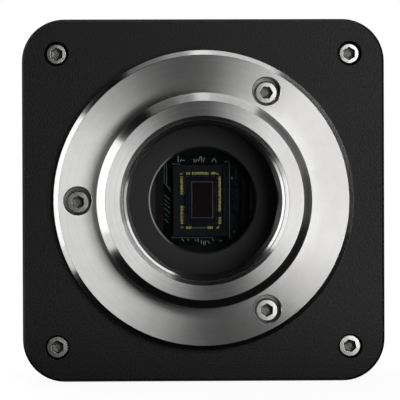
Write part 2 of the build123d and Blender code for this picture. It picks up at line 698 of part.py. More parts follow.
os.makedirs("parts", exist_ok=True)
for name, piece in pieces().items():
    export_step(STANDING * piece, f"parts/{name}.step")
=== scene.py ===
import math

import bpy
import numpy as np
from bpy.props import FloatProperty, FloatVectorProperty, IntProperty, PointerProperty
from mathutils import Matrix, Quaternion, Vector


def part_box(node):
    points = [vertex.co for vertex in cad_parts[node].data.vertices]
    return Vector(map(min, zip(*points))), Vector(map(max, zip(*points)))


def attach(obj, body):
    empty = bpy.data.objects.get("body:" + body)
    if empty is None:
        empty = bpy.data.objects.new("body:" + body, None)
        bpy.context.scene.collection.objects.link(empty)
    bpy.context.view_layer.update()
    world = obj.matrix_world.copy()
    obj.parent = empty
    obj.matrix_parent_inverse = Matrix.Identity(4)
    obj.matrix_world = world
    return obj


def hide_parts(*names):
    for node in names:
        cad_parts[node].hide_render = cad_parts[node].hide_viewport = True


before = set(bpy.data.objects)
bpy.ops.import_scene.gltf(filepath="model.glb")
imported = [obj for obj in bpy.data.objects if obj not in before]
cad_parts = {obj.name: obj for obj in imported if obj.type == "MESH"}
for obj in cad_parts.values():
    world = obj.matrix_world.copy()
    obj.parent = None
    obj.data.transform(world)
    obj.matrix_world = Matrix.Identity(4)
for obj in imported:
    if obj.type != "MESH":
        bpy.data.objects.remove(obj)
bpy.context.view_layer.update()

bl_info = {
    "name": "Microscope camera dressing",
    "version": (1, 0, 0),
    "blender": (4, 5, 0),
    "location": "View3D > Sidebar > Microscope camera",
    "description": "Builds the surfaces, finishes and stage of a square camera with a round lens mount",
    "category": "Object",
}

# The lens axis is the Y axis, the lens looks along -Y and a depth is a value of y.
MM = 0.001
ROOT = "root"
TURN = 2 * math.pi
# Faces that meet at more than this angle keep a sharp edge: on new pieces, and on the packed model's nodes
SMOOTH_ANGLE = math.radians(38)
NODE_ANGLE = math.radians(30)
# Points of a node's loose triangles that are nearer than this are the same point
MERGE_REACH = 0.001 * MM


def front_of(node):
    """The depth of a node's foremost point."""
    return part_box(node)[0].y


def back_of(node):
    """The depth of a node's rearmost point."""
    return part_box(node)[1].y


def centre_of(node):
    """The middle of a node, across and up."""
    low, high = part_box(node)
    return ((low.x + high.x) / 2, (low.z + high.z) / 2)


def half_width_of(node):
    """Half of a node's width."""
    low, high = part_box(node)
    return (high.x - low.x) / 2


BODY_FRONT = front_of("front_cover")
FLOOR_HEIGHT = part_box("body_shell")[0].z
RING_BACK = back_of("mount_flange")
SENSOR_PLANE = front_of("sensor_die")
BOARD_FRONT = front_of("sensor_board")
# Radius of the aperture in the front cover, and how far out and in front the well behind the ring may reach
APERTURE_RADIUS = 8.85 * MM
WELL_REACH = 13.6 * MM
WELL_FRONT = RING_BACK - 0.2 * MM
# Depth behind which the seal is its inner lip, and the spacing of the lip's ribs
LIP_DEPTH = 16.5 * MM
RIB_PITCH = 0.5 * MM


def size(name, description, millimetres):
    """A length that a user may change, given in millimetres."""
    return FloatProperty(
        name=name, description=description, default=millimetres * MM, min=0.0, precision=5, unit="LENGTH"
    )


def amount(name, description, value, most=1.0):
    """A plain number that a user may change."""
    return FloatProperty(name=name, description=description, default=value, min=0.0, max=most)


def colour(name, description, red, green, blue):
    """A colour that a user may change."""
    return FloatVectorProperty(
        name=name, description=description, default=(red, green, blue), min=0.0, max=1.0, subtype="COLOR"
    )


class MountSizes(bpy.types.PropertyGroup):
    """Sizes of the turned ring that carries the lens."""

    thread_radius: size("Thread radius", "Radius of the bottom of the thread's grooves", 12.7)
    thread_pitch: size("Thread pitch", "Length of one turn of the thread", 0.794)
    thread_height: size("Thread height", "How far the thread stands in from its grooves", 0.43)
    thread_lead: size("Thread lead", "Width of the cone in front of the thread", 0.49)
    lead_depth: size("Lead depth", "Length of the cone in front of the thread", 0.42)
    lead_step: size("Lead step", "Length of the short bore in front of the cone", 0.25)
    mouth_chamfer: size("Mouth chamfer", "Width of the chamfer between the bore and the seat", 0.64)
    seat_width: size("Seat width", "Width of the flat ring that a lens seats on", 2.37)
    boss_chamfer: size("Boss chamfer", "Width of the chamfer round the seat", 1.45)
    boss_height: size("Boss height", "How far the seat stands in front of the flange", 5.0)
    rim_chamfer: size("Rim chamfer", "Width of the chamfer round the flange", 0.85)
    rim_overhang: size("Rim overhang", "How far the flange stands out over its spigot", 1.2)
    edge_break: size("Edge break", "How far each turned edge is rounded", 0.07)
    screw_edge: size("Screw edge", "Metal between the boss and a counterbore", 0.8)
    counterbore_radius: size("Counterbore radius", "Radius of the holes for the screw heads", 2.3)
    counterbore_depth: size("Counterbore depth", "Depth of the holes for the screw heads", 3.15)
    counterbore_break: size("Counterbore break", "Width of the chamfer round a counterbore", 0.12)
    screw_hole_radius: size("Screw hole radius", "Radius of the holes for the shanks", 1.3)
    first_screw_angle: FloatProperty(
        name="First screw", description="Angle of the first of the three screws",
        default=math.radians(60.0), subtype="ANGLE",
    )
    columns: IntProperty(name="Columns", description="Points round the ring", default=360, min=24)


class ScrewSizes(bpy.types.PropertyGroup):
    """Sizes of the socket screws."""

    shank_radius: size("Shank radius", "Radius of the threaded shank", 1.0)
    head_radius: size("Head radius", "Radius of the head", 1.9)
    head_height: size("Head height", "Height of the head", 2.0)
    head_fall: size("Head fall", "How far the head's face falls from the key's hole to its rim", 0.022)
    key_flats: size("Key flats", "Width of the key's hole across its flats", 1.85)
    key_depth: size("Key depth", "Depth of the key's hole at its walls", 0.9)
    key_break: size("Key break", "Width of the chamfer round the key's hole", 0.05)
    key_taper: size("Key taper", "How far the walls of the key's hole lean in", 0.12)
    key_cone: size("Key cone", "How far the floor of the key's hole falls from its walls", 0.13)
    knurl_depth: size("Knurl depth", "Depth of the grooves round the head", 0.06)
    edge_break: size("Edge break", "How far each edge is rounded", 0.03)
    knurl_count: IntProperty(name="Knurls", description="Grooves round the head", default=36, min=3)
    columns: IntProperty(name="Columns", description="Points round a screw", default=216, min=24)


class SensorSizes(bpy.types.PropertyGroup):
    """Sizes of what lies on the sensor and round it."""

    active_width: size("Active width", "Width of the field of pixels", 3.4)
    active_height: size("Active height", "Height of the field of pixels", 5.93)
    border: size("Border", "Width of the pale line round the pixels", 0.16)
    film: size("Film", "Thickness of the layers on the silicon", 0.01)
    wire_radius: size("Wire radius", "Radius of a bond wire", 0.0125)
    wire_rise: size("Wire rise", "How far a bond wire arches over its ends", 0.16)
    pad_side: size("Pad side", "Side of a bond pad", 0.09)
    pad_inset: size("Pad inset", "Distance of the pads from the edge of the silicon", 0.17)
    corner_width: size("Corner width", "Width of the gold strokes in the carrier's corners", 0.12)
    strip_width: size("Strip width", "Width of the green strip below the silicon", 0.24)


class BoardSizes(bpy.types.PropertyGroup):
    """Sizes of the print and copper on the sensor's board."""

    print_width: size("Print width", "Width of the white lines", 0.14)
    trace_width: size("Trace width", "Width of the copper tracks", 0.11)
    print_height: size("Print height", "How far the lines stand proud", 0.03)


class FinishColours(bpy.types.PropertyGroup):
    """Colours of the finishes."""

    anodised: colour("Anodised", "Dyed black aluminium", 0.003, 0.003, 0.0031)
    turned: colour("Turned metal", "The bright lens mount", 0.66, 0.655, 0.65)
    screws: colour("Screws", "Stainless steel", 0.47, 0.466, 0.457)
    solder_mask: colour("Solder mask", "Lacquer of the circuit boards", 0.0004, 0.0020, 0.0018)
    track: colour("Track", "Copper under the lacquer", 0.016, 0.045, 0.038)
    board_print: colour("Board print", "White lines on the boards", 0.07, 0.085, 0.085)
    gold: colour("Gold", "Bond fingers and contacts", 0.43, 0.42, 0.14)
    ceramic: colour("Carrier", "The sensor's carrier", 0.0035, 0.0054, 0.0090)
    silicon: colour("Silicon", "Bare silicon round the pixels", 0.002, 0.0028, 0.005)
    pixels: colour("Pixels", "The field of pixels", 0.0085, 0.0048, 0.0058)
    rubber: colour("Rubber", "The seal", 0.02, 0.02, 0.021)
    plastic: colour("Plastic", "Chips and connectors", 0.018, 0.018, 0.019)
    tin: colour("Tin", "Folded and drawn metal", 0.62, 0.61, 0.59)
    lamp: colour("Lamp", "The status lamp", 0.55, 0.60, 0.50)
    brass: colour("Brass", "Plated brass of the spacers", 0.72, 0.52, 0.24)
    pixel_border: colour("Pixel border", "The pale line round the pixels", 0.009, 0.011, 0.0105)
    bond_pads: colour("Bond pads", "Metal pads on the silicon", 0.05, 0.052, 0.055)
    strip: colour("Strip", "The strip below the silicon", 0.008, 0.028, 0.036)
    connector: colour("Connector", "Plastic of the pair that joins the boards", 0.5, 0.47, 0.4)
    capacitor: colour("Capacitor", "Ceramic of the capacitors", 0.28, 0.19, 0.12)
    ferrite: colour("Ferrite", "Core of the inductor", 0.05, 0.05, 0.052)
    socket: colour("Socket", "Plastic in the data socket", 0.3, 0.3, 0.285)
    filter_coat: colour("Filter", "Coat of the filter window", 0.75, 0.8, 0.95)
    lid_coat: colour("Lid", "Coat of the sensor's lid", 0.7, 0.8, 1.0)
    rod: colour("Rod", "The clear light pipe", 0.95, 0.97, 0.95)
    rod_cloud: colour("Rod cloud", "Where the light pipe is clouded", 0.86, 0.9, 0.86)


class StageSettings(bpy.types.PropertyGroup):
    """Camera, floor and lights."""

    camera_side: size("Camera side", "How far the camera stands to the left of the lens axis", 9.2)
    camera_rise: size("Camera rise", "How far the camera stands above the lens axis", 3.3)
    camera_distance: size("Camera distance", "Distance of the camera from the lens seat", 413.4)
    aim_side: size("Aim side", "How far left of the lens axis the camera aims", 0.75)
    aim_rise: size("Aim rise", "How far above the lens axis the camera aims", 0.11)
    camera_roll: FloatProperty(
        name="Camera roll", description="Turn of the camera about its line of sight",
        default=math.radians(-0.2), subtype="ANGLE",
    )
    focal_pixels: amount("Focal length", "Focal length in pixels of the picture", 2542.0, 10000.0)
    picture_pixels: amount("Picture width", "Width of the picture in pixels", 400.0, 10000.0)
    floor_side: size("Floor side", "Half of the floor's width", 90.0)
    floor_front: size("Floor front", "How far the floor reaches in front of the lens seat", 33.0)
    floor_white: amount("Floor white", "How much of the floor that is seen is plain white", 0.94)
    tent_radius: size("Tent radius", "Radius of the black tent that the metal reflects", 1200.0)
    cloth_left: size("Cloth left", "How far the black cloth on the floor reaches to the left", 54.0)
    right_power: amount("Right light", "Power of the soft light in front and to the right", 2.55, 1000.0)
    low_power: amount("Low light", "Power of the small light low beside the camera", 0.011, 1000.0)
    left_power: amount("Left light", "Power of the soft light beside the camera's left", 1.7, 1000.0)
    top_power: amount("Top light", "Power of the soft lights above", 0.75, 1000.0)
    side_power: amount("Side light", "Power of the long lights at the right side", 0.52, 1000.0)
    back_power: amount("Back light", "Power of the soft light behind the camera", 8.0, 1000.0)
    fill: amount("Fill", "Strength of the even light from all round", 0.25, 10.0)


# Surfaces: each is a tuple of vertices, four-sided faces and three-sided faces, as whole arrays.


def wrapped_faces(rows, columns, closed):
    """Faces of a grid whose columns meet after a turn, and whose rows meet too if it is closed.

    The face of row r and column c has the corners (r, c), (r, c + 1), (r + 1, c + 1) and (r + 1, c), each
    taken round to zero past the end.
    """
    row = np.arange(rows if closed else rows - 1)[:, None]
    column = np.arange(columns)[None, :]
    below, beside = (row + 1) % rows, (column + 1) % columns
    here, next_row = row * columns, below * columns
    corners = [here + column, here + beside, next_row + beside, next_row + column]
    return np.stack(np.broadcast_arrays(*corners), axis=-1).reshape(-1, 4)


def closed_surface(grid):
    """A grid of points (rows, columns, 3) whose rows and columns both meet again, like the skin of a ring."""
    rows, columns = grid.shape[:2]
    return grid.reshape(-1, 3), wrapped_faces(rows, columns, True), np.zeros((0, 3), int)


def capped_surface(grid):
    """A grid whose columns meet after a turn and whose first and last rows have shrunk to one point each."""
    inner = grid[1:-1]
    rows, columns = inner.shape[:2]
    count = rows * columns
    column = np.arange(columns)
    beside = (column + 1) % columns
    last = count - columns
    start = np.stack([np.full(columns, count), beside, column], axis=-1)
    end = np.stack([np.full(columns, count + 1), last + column, last + beside], axis=-1)
    vertices = np.concatenate([inner.reshape(-1, 3), grid[0, :1], grid[-1, :1]])
    return vertices, wrapped_faces(rows, columns, False), np.concatenate([start, end])


def copies(surface, offsets):
    """The surface once at each offset (x, y, z)."""
    vertices, quads, triangles = surface
    offsets = np.asarray(offsets, float).reshape(-1, 1, 3)
    step = len(vertices) * np.arange(len(offsets))[:, None, None]
    placed = (vertices[None] + offsets).reshape(-1, 3)
    return placed, (quads[None] + step).reshape(-1, 4), (triangles[None] + step).reshape(-1, 3)


def joined(surfaces):
    """Several surfaces as one, each one's faces counted on from the vertices before it."""
    counts = np.cumsum([0] + [len(vertices) for vertices, quads, triangles in surfaces])
    vertices = np.concatenate([surface[0] for surface in surfaces])
    quads = np.concatenate([surface[1] + count for surface, count in zip(surfaces, counts)])
    triangles = np.concatenate([surface[2] + count for surface, count in zip(surfaces, counts)])
    return vertices, quads, triangles


def outward(surface):
    """The surface with its faces turned outwards.

    The volume is a sixth of the sum of a . (b x c) over its triangles, which is negative where they face
    inwards.
    """
    vertices, quads, triangles = surface
    thirds = np.concatenate([quads[:, [0, 1, 2]], quads[:, [0, 2, 3]], triangles])
    a, b, c = vertices[thirds[:, 0]], vertices[thirds[:, 1]], vertices[thirds[:, 2]]
    if np.einsum("ij,ij->", a, np.cross(b, c)) < 0:
        return vertices, quads[:, ::-1], triangles[:, ::-1]
    return surface


def smooth(mesh):
    """Smooths a mesh except where its faces meet at more than the angle."""
    mesh.shade_smooth()
    mesh.set_sharp_from_angle(angle=SMOOTH_ANGLE)


def piece(name, surface):
    """A new object from a surface."""
    vertices, quads, triangles = outward(surface)
    corners = np.concatenate([quads.ravel(), triangles.ravel()]).astype(np.int32)
    sides = np.concatenate([np.full(len(quads), 4), np.full(len(triangles), 3)])
    starts = (np.cumsum(sides) - sides).astype(np.int32)
    mesh = bpy.data.meshes.new(name)
    mesh.vertices.add(len(vertices))
    mesh.vertices.foreach_set("co", vertices.astype(np.float32).ravel())
    mesh.loops.add(len(corners))
    mesh.loops.foreach_set("vertex_index", corners)
    mesh.polygons.add(len(sides))
    mesh.polygons.foreach_set("loop_start", starts)
    mesh.update(calc_edges=True)
    mesh.validate()
    smooth(mesh)
    made = bpy.data.objects.new(name, mesh)
    bpy.context.scene.collection.objects.link(made)
    return made


def rounded(corners, reach, closed=True, steps=4, hold=1.3):
    """A profile with its corners rounded; the first two values of a point are its radius and depth.

    A corner C becomes the parabola (1 - s)^2 A + 2 s (1 - s) C + s^2 B for s from 0 to 1. A and B lie on its
    two sides at the reach, or at a third of a side that is short. One more point stands on each side at the
    hold times that distance, so that the smooth normal is back to the flat side's there.
    """
    corners = np.asarray(corners, float)
    arms = []
    for shift in (1, -1):
        side = np.roll(corners, shift, axis=0) - corners
        length = np.maximum(np.linalg.norm(side[:, :2], axis=1, keepdims=True), 1e-9)
        arms.append(side / length * np.minimum(reach, length / 3))
    start, end = corners + arms[0], corners + arms[1]
    s = np.linspace(0, 1, steps + 1)[None, :, None]
    curve = (1 - s) ** 2 * start[:, None] + 2 * s * (1 - s) * corners[:, None] + s**2 * end[:, None]
    outer = [(corners + hold * arm)[:, None] for arm in arms]
    points = np.concatenate([outer[0], curve, outer[1]], axis=1)
    if closed:
        return points.reshape(-1, corners.shape[1])
    middle = points[1:-1].reshape(-1, corners.shape[1])
    return np.concatenate([corners[:1], middle, corners[-1:]])


def round_axis(radius, depth, angle):
    """Points at a radius and an angle round the Y axis: x = r cos a, y = depth, z = r sin a."""
    radius, depth, angle = np.broadcast_arrays(radius, depth, angle)
    return np.stack([radius * np.cos(angle), depth, radius * np.sin(angle)], axis=-1)


def angles(columns):
    """Evenly spaced angles of one turn."""
    return np.arange(columns) * TURN / columns


def turned_grid(profile, columns):
    """A profile of radius and depth carried round the axis."""
    return round_axis(profile[:, 0, None], profile[:, 1, None], angles(columns)[None])


def bars(lines, width, front, back):
    """Flat bars along lines (x, z, x, z) between two depths.

    The corners of a bar are the ends of its line plus and minus half of the width across the line.
    """
    lines = np.asarray(lines, float).reshape(-1, 4)
    start, end = lines[:, :2], lines[:, 2:]
    along = (end - start) / np.linalg.norm(end - start, axis=1, keepdims=True)
    across = np.stack([-along[:, 1], along[:, 0]], axis=1) * width / 2
    outline = np.stack([start - across, end - across, end + across, start + across], axis=1)
    depth = np.broadcast_to(np.array([front, back])[None, :, None], (len(lines), 2, 4))
    flat = np.broadcast_to(outline[:, None], (len(lines), 2, 4, 2))
    vertices = np.stack([flat[..., 0], depth, flat[..., 1]], axis=-1).reshape(-1, 3)
    sides = [(0, 1, 2, 3), (7, 6, 5, 4), (0, 4, 5, 1), (1, 5, 6, 2), (2, 6, 7, 3), (3, 7, 4, 0)]
    quads = np.array(sides)[None] + 8 * np.arange(len(lines))[:, None, None]
    return vertices, quads.reshape(-1, 4), np.zeros((0, 3), int)


def frame_bars(width, height, line):
    """The four lines of a frame round the axis, as middle lines of bars that meet at its corners."""
    across, up = width / 2 + line / 2, height / 2 + line / 2
    long, short = across + line / 2, up - line / 2
    level = [(-long, way * up, long, way * up) for way in (1, -1)]
    upright = [(way * across, -short, way * across, short) for way in (-1, 1)]
    return level + upright


def face_values(mesh, kind):
    """The normals or the centres of a mesh's faces."""
    values = np.empty(len(mesh.polygons) * 3, np.float32)
    mesh.polygons.foreach_get(kind, values)
    return values.reshape(-1, 3)


def from_nearest(centres, places):
    """How far each point is from the nearest of several axes along Y, whose places are across and up."""
    apart = centres[:, None, [0, 2]] - np.asarray(places)[None]
    return np.linalg.norm(apart, axis=2).min(axis=1)


def placed_on(node, lines):
    """Lines in millimetres from the middle of a node, moved to their place."""
    x, z = centre_of(node)
    return np.array(lines) * MM + np.array([x, z, x, z])


# Shader nodes


def wire(tree, value, socket):
    """Sets a socket to a value, or links it to another node's output."""
    if isinstance(value, bpy.types.NodeSocket):
        tree.links.new(value, socket)
    else:
        socket.default_value = value


def add(tree, kind, inputs=None, **settings):
    """A new shader node with its settings and inputs."""
    made = tree.nodes.new(kind)
    for name, value in settings.items():
        setattr(made, name, value)
    for name, value in (inputs or {}).items():
        wire(tree, value, made.inputs[name])
    return made


def calc(tree, operation, first, second=0.0, third=0.0):
    """The result of a sum on two or three values."""
    return add(tree, "ShaderNodeMath", {0: first, 1: second, 2: third}, operation=operation).outputs[0]


def blend_colour(tree, factor, first, second):
    """A mix of two colours, by the numbers of the node's colour sockets, whose names other sockets share."""
    return add(tree, "ShaderNodeMix", {0: factor, 6: first, 7: second}, data_type="RGBA").outputs[2]


def remap(tree, value, low, high, to_low, to_high):
    """The value moved from one range to another, and kept inside it."""
    inputs = {"Value": value, "From Min": low, "From Max": high, "To Min": to_low, "To Max": to_high}
    return add(tree, "ShaderNodeMapRange", inputs).outputs[0]


def noise(tree, where, scale, detail):
    """Noise over a place: a vector, or a distance along one line."""
    line = where.type == "VALUE"
    inputs = {"W" if line else "Vector": where, "Scale": scale, "Detail": detail}
    return add(tree, "ShaderNodeTexNoise", inputs, noise_dimensions="1D" if line else "3D").outputs["Fac"]


def place_in(tree):
    """Object coordinates."""
    return add(tree, "ShaderNodeTexCoord").outputs["Object"]


def parts_of(tree, vector):
    """The three values of a vector."""
    return add(tree, "ShaderNodeSeparateXYZ", {0: vector}).outputs


def from_axis(tree, parts):
    """The distance from the lens axis: the root of the sum of the squares of x and z."""
    squares = calc(tree, "ADD", calc(tree, "POWER", parts["X"], 2.0), calc(tree, "POWER", parts["Z"], 2.0))
    return calc(tree, "SQRT", squares)


def relief(tree, height, distance):
    """The normal of a relief, from its height and how many millimetres a height of one stands out."""
    inputs = {"Height": height, "Distance": distance * MM, "Strength": 1.0}
    return add(tree, "ShaderNodeBump", inputs).outputs["Normal"]


# Shared effects: each function builds a node group that bears its name.


def new_group(name, values, outputs):
    """A node group with a vector and named values in and named values out: its tree, inputs and outputs."""
    tree = bpy.data.node_groups.new(name, "ShaderNodeTree")
    tree.interface.new_socket("Vector", in_out="INPUT", socket_type="NodeSocketVector")
    for label, value in values.items():
        socket = tree.interface.new_socket(label, in_out="INPUT", socket_type="NodeSocketFloat")
        socket.default_value = value
    for label in outputs:
        tree.interface.new_socket(label, in_out="OUTPUT", socket_type="NodeSocketFloat")
    return tree, tree.nodes.new("NodeGroupInput").outputs, tree.nodes.new("NodeGroupOutput").inputs


def shared(build):
    """A shared group, built the first time that it is used."""
    return bpy.data.node_groups.get(build.__name__) or build(build.__name__)


def use_group(tree, build, **inputs):
    """A shared group placed in a tree with its inputs: its outputs."""
    return add(tree, "ShaderNodeGroup", inputs, node_tree=shared(build)).outputs


def fine_grain(name):
    """Fine grain of a blasted or moulded surface, from two sizes of noise; its size is in millimetres."""
    tree, given, out = new_group(name, {"Grain": 0.1, "Coarse": 0.35}, ("Height", "Mask"))
    scale = calc(tree, "DIVIDE", 1.0 / MM, given["Grain"])
    fine = noise(tree, given["Vector"], scale, 2.0)
    broad = noise(tree, given["Vector"], calc(tree, "MULTIPLY", scale, 0.22), 1.0)
    wire(tree, calc(tree, "MULTIPLY_ADD", broad, given["Coarse"], fine), out["Height"])
    wire(tree, remap(tree, calc(tree, "ADD", fine, broad), 0.75, 1.25, 0.0, 1.0), out["Mask"])
    return tree


def turning_rings(name):
    """Fine rings that a cutting tool leaves, from noise along one line; their pitch is in millimetres.

    A point's place on that line is its radius plus its depth, so that cones and bores have rings too. The
    streaks come from noise over the direction from the axis, which hardly changes across the rings.
    """
    tree, given, out = new_group(name, {"Pitch": 0.08}, ("Height", "Mask", "Streak"))
    parts = parts_of(tree, given["Vector"])
    radius = from_axis(tree, parts)
    place = calc(tree, "DIVIDE", calc(tree, "ADD", radius, parts["Y"]), MM)
    place = calc(tree, "DIVIDE", place, given["Pitch"])
    fine = noise(tree, place, 1.0, 3.0)
    broad = noise(tree, calc(tree, "MULTIPLY", place, 0.16), 1.0, 1.0)
    mask = calc(tree, "MULTIPLY_ADD", broad, 0.6, calc(tree, "MULTIPLY", fine, 0.4))
    across, up = (calc(tree, "DIVIDE", parts[axis], radius) for axis in "XZ")
    spot = {0: across, 1: up, 2: calc(tree, "MULTIPLY", place, 0.004)}
    streak = noise(tree, add(tree, "ShaderNodeCombineXYZ", spot).outputs[0], 9.0, 3.0)
    wire(tree, fine, out["Height"])
    wire(tree, remap(tree, mask, 0.3, 0.7, 0.0, 1.0), out["Mask"])
    wire(tree, remap(tree, streak, 0.3, 0.7, 0.0, 1.0), out["Streak"])
    return tree


def between_radii(name):
    """A mask that is one between two distances from the lens axis and behind a depth."""
    tree, given, out = new_group(name, {"Inner": 0.0, "Outer": 0.01, "Behind": -1.0}, ("Mask",))
    parts = parts_of(tree, given["Vector"])
    radius = from_axis(tree, parts)
    past = calc(tree, "GREATER_THAN", radius, given["Inner"])
    within = calc(tree, "LESS_THAN", radius, given["Outer"])
    behind = calc(tree, "GREATER_THAN", parts["Y"], given["Behind"])
    wire(tree, calc(tree, "MULTIPLY", calc(tree, "MULTIPLY", past, within), behind), out["Mask"])
    return tree


def smooth_small_angles(name):
    """Geometry nodes that join a node's loose triangles and smooth what meets at a small angle."""
    tree = bpy.data.node_groups.new(name, "GeometryNodeTree")
    for way in ("INPUT", "OUTPUT"):
        tree.interface.new_socket("Geometry", in_out=way, socket_type="NodeSocketGeometry")
    source = tree.nodes.new("NodeGroupInput").outputs[0]
    inputs = {"Geometry": source, "Distance": MERGE_REACH}
    merged = add(tree, "GeometryNodeMergeByDistance", inputs).outputs[0]
    soft = add(tree, "GeometryNodeSetShadeSmooth", {0: merged}, domain="FACE").outputs[0]
    angle = add(tree, "GeometryNodeInputMeshEdgeAngle").outputs[0]
    sharp = calc(tree, "GREATER_THAN", angle, NODE_ANGLE)
    hard = add(tree, "GeometryNodeSetShadeSmooth", {0: soft, 1: sharp, 2: False}, domain="EDGE").outputs[0]
    tree.links.new(hard, tree.nodes.new("NodeGroupOutput").inputs[0])
    return tree


# Finishes


def feed(tree, shader, **inputs):
    """Feeds the shader's sockets, whose names are written with an underscore for a space."""
    for label, value in inputs.items():
        wire(tree, value, shader.inputs[label.replace("_", " ")])


def start_material(name, **constants):
    """A material with one Principled shader: the material, its tree and the shader."""
    material = bpy.data.materials.new(name)
    material.use_nodes = True
    shader = material.node_tree.nodes["Principled BSDF"]
    feed(material.node_tree, shader, **constants)
    return material, material.node_tree, shader


def rgba(value, gain=1.0):
    """A colour property as four numbers, made lighter or darker by a gain."""
    return tuple(min(channel * gain, 1.0) for channel in value) + (1.0,)


# Finishes of one tint with fine grain. Each has the name of its colour, that colour's gain, the contrast, the
# roughness and how far it varies, the grain's size and relief in millimetres, and the shader's own values.
METAL = {"Metallic": 1.0}
GRAINED_FINISHES = {
    "screw_steel": ("screws", 1.0, 0.03, 0.29, 0.02, 0.3, 0.0002, METAL),
    # The key holes take the screws' steel at a low gain: painted shade in the holes
    "key_hole": ("screws", 0.28, 0.15, 0.5, 0.05, 0.1, 0.0005, METAL),
    # The drilled holes take the ring's metal at a low gain: painted shade in the counterbores
    "drilled_hole": ("turned", 0.45, 0.2, 0.35, 0.05, 0.2, 0.001, METAL),
    "tin_shell": ("tin", 1.0, 0.08, 0.22, 0.04, 0.25, 0.001, METAL),
    "can_metal": ("tin", 1.0, 0.12, 0.3, 0.05, 0.2, 0.001, METAL),
    "brass": ("brass", 1.0, 0.12, 0.3, 0.06, 0.2, 0.001, METAL),
    "gold": ("gold", 1.0, 0.12, 0.3, 0.08, 0.06, 0.0005, METAL),
    "bond_pads": ("bond_pads", 1.0, 0.2, 0.35, 0.05, 0.05, 0.0005, METAL),
    "pixel_border": ("pixel_border", 1.0, 0.2, 0.35, 0.05, 0.1, 0.0005, {}),
    "carrier_ceramic": ("ceramic", 1.0, 0.14, 0.5, 0.06, 0.18, 0.002, {"Specular_IOR_Level": 0.1}),
    "carrier_strip": ("strip", 1.0, 0.2, 0.35, 0.05, 0.1, 0.001, {}),
    "board_outline": ("board_print", 1.0, 0.2, 0.6, 0.05, 0.1, 0.001, {}),
    "board_ticks": ("board_print", 3.0, 0.2, 0.6, 0.05, 0.1, 0.001, {}),
    "board_tracks": ("track", 1.0, 0.25, 0.35, 0.05, 0.1, 0.001, {}),
    "chip_plastic": ("plastic", 1.0, 0.15, 0.5, 0.05, 0.15, 0.003, {}),
    "connector_plastic": ("connector", 1.0, 0.15, 0.45, 0.05, 0.15, 0.003, {}),
    "capacitor": ("capacitor", 1.0, 0.15, 0.4, 0.05, 0.15, 0.003, {}),
    "ferrite": ("ferrite", 1.0, 0.15, 0.6, 0.05, 0.15, 0.003, {}),
    "socket_plastic": ("socket", 1.0, 0.15, 0.4, 0.05, 0.15, 0.003, {}),
    "lamp_resin": ("lamp", 1.0, 0.15, 0.3, 0.05, 0.15, 0.003, {}),
}


def grained(name, colours):
    """A finish of the table above: its colour, roughness and relief vary with one noise."""
    tint, gain, contrast, middle, spread, grain, distance, constants = GRAINED_FINISHES[name]
    material, tree, shader = start_material(name, **constants)
    grains = use_group(tree, fine_grain, Vector=place_in(tree), Grain=grain)
    dark, light = (rgba(getattr(colours, tint), gain * (1.0 + change)) for change in (-contrast, contrast))
    base = blend_colour(tree, grains["Mask"], dark, light)
    roughness = remap(tree, grains["Mask"], 0.0, 1.0, middle - spread, middle + spread)
    normal = relief(tree, grains["Height"], distance)
    feed(tree, shader, Base_Color=base, Roughness=roughness, Normal=normal)
    return material


# Sizes of the blasted surface's grain and of its specks, and its relief, all in millimetres, and how many
# times as high as the grain the specks are
BLAST_GRAIN = 0.12
BLAST_SPECK = 0.3
BLAST_RELIEF = 0.006
SPECK_HEIGHT = 5.5
# How far out from the aperture the painted highlight on its edge starts and ends
HIGHLIGHT_START = 0.03 * MM
HIGHLIGHT_END = 0.26 * MM


def anodised(name, colours, well=False):
    """Blasted and dyed aluminium: fine grain with larger specks.

    The well, where there is one, is paler and has no specks, and the aperture's edge has a painted highlight
    at its left: the turned metal's colour and sheen where the edge catches the light.
    """
    material, tree, shader = start_material(name, Specular_IOR_Level=0.225)
    where = place_in(tree)
    grains = use_group(tree, fine_grain, Vector=where, Grain=BLAST_GRAIN)
    specks = use_group(tree, fine_grain, Vector=where, Grain=BLAST_SPECK, Coarse=0.0)["Height"]
    shade = calc(tree, "MULTIPLY_ADD", grains["Mask"], 0.4, remap(tree, specks, 0.35, 0.65, 0.0, 0.6))
    specks = calc(tree, "SUBTRACT", specks, 0.5)
    base = blend_colour(tree, shade, rgba(colours.anodised, 0.55), rgba(colours.anodised, 1.45))
    roughness = remap(tree, shade, 0.0, 1.0, 0.36, 0.56)
    if well:
        inside = ring_mask(tree, where, 0.0, WELL_REACH, WELL_FRONT)
        base = blend_colour(tree, inside, base, rgba(colours.anodised, 4.5))
        specks = calc(tree, "MULTIPLY", specks, calc(tree, "SUBTRACT", 1.0, inside))
        # Painted highlight: the turned metal's colour on the left of the aperture's edge, where the edge
        # catches the light
        painted_edge_highlight = ring_mask(tree, where, APERTURE_RADIUS + HIGHLIGHT_START, APERTURE_RADIUS + HIGHLIGHT_END, RING_BACK)
        leftward = calc(tree, "DIVIDE", parts_of(tree, where)["X"], -APERTURE_RADIUS)
        painted_edge_highlight = calc(tree, "MULTIPLY", painted_edge_highlight, remap(tree, leftward, 0.55, 0.95, 0.0, 0.75))
        base = blend_colour(tree, painted_edge_highlight, base, rgba(colours.turned))
        roughness = calc(tree, "MULTIPLY_ADD", painted_edge_highlight, 0.16, roughness)
        feed(tree, shader, Metallic=painted_edge_highlight)
    height = calc(tree, "MULTIPLY_ADD", specks, SPECK_HEIGHT, grains["Height"])
    feed(tree, shader, Base_Color=base, Roughness=roughness, Normal=relief(tree, height, BLAST_RELIEF))
    return material


def ring_mask(tree, where, inner, outer, behind):
    """A mask for what lies between two radii and behind a depth."""
    return use_group(tree, between_radii, Vector=where, Inner=inner, Outer=outer, Behind=behind)["Mask"]


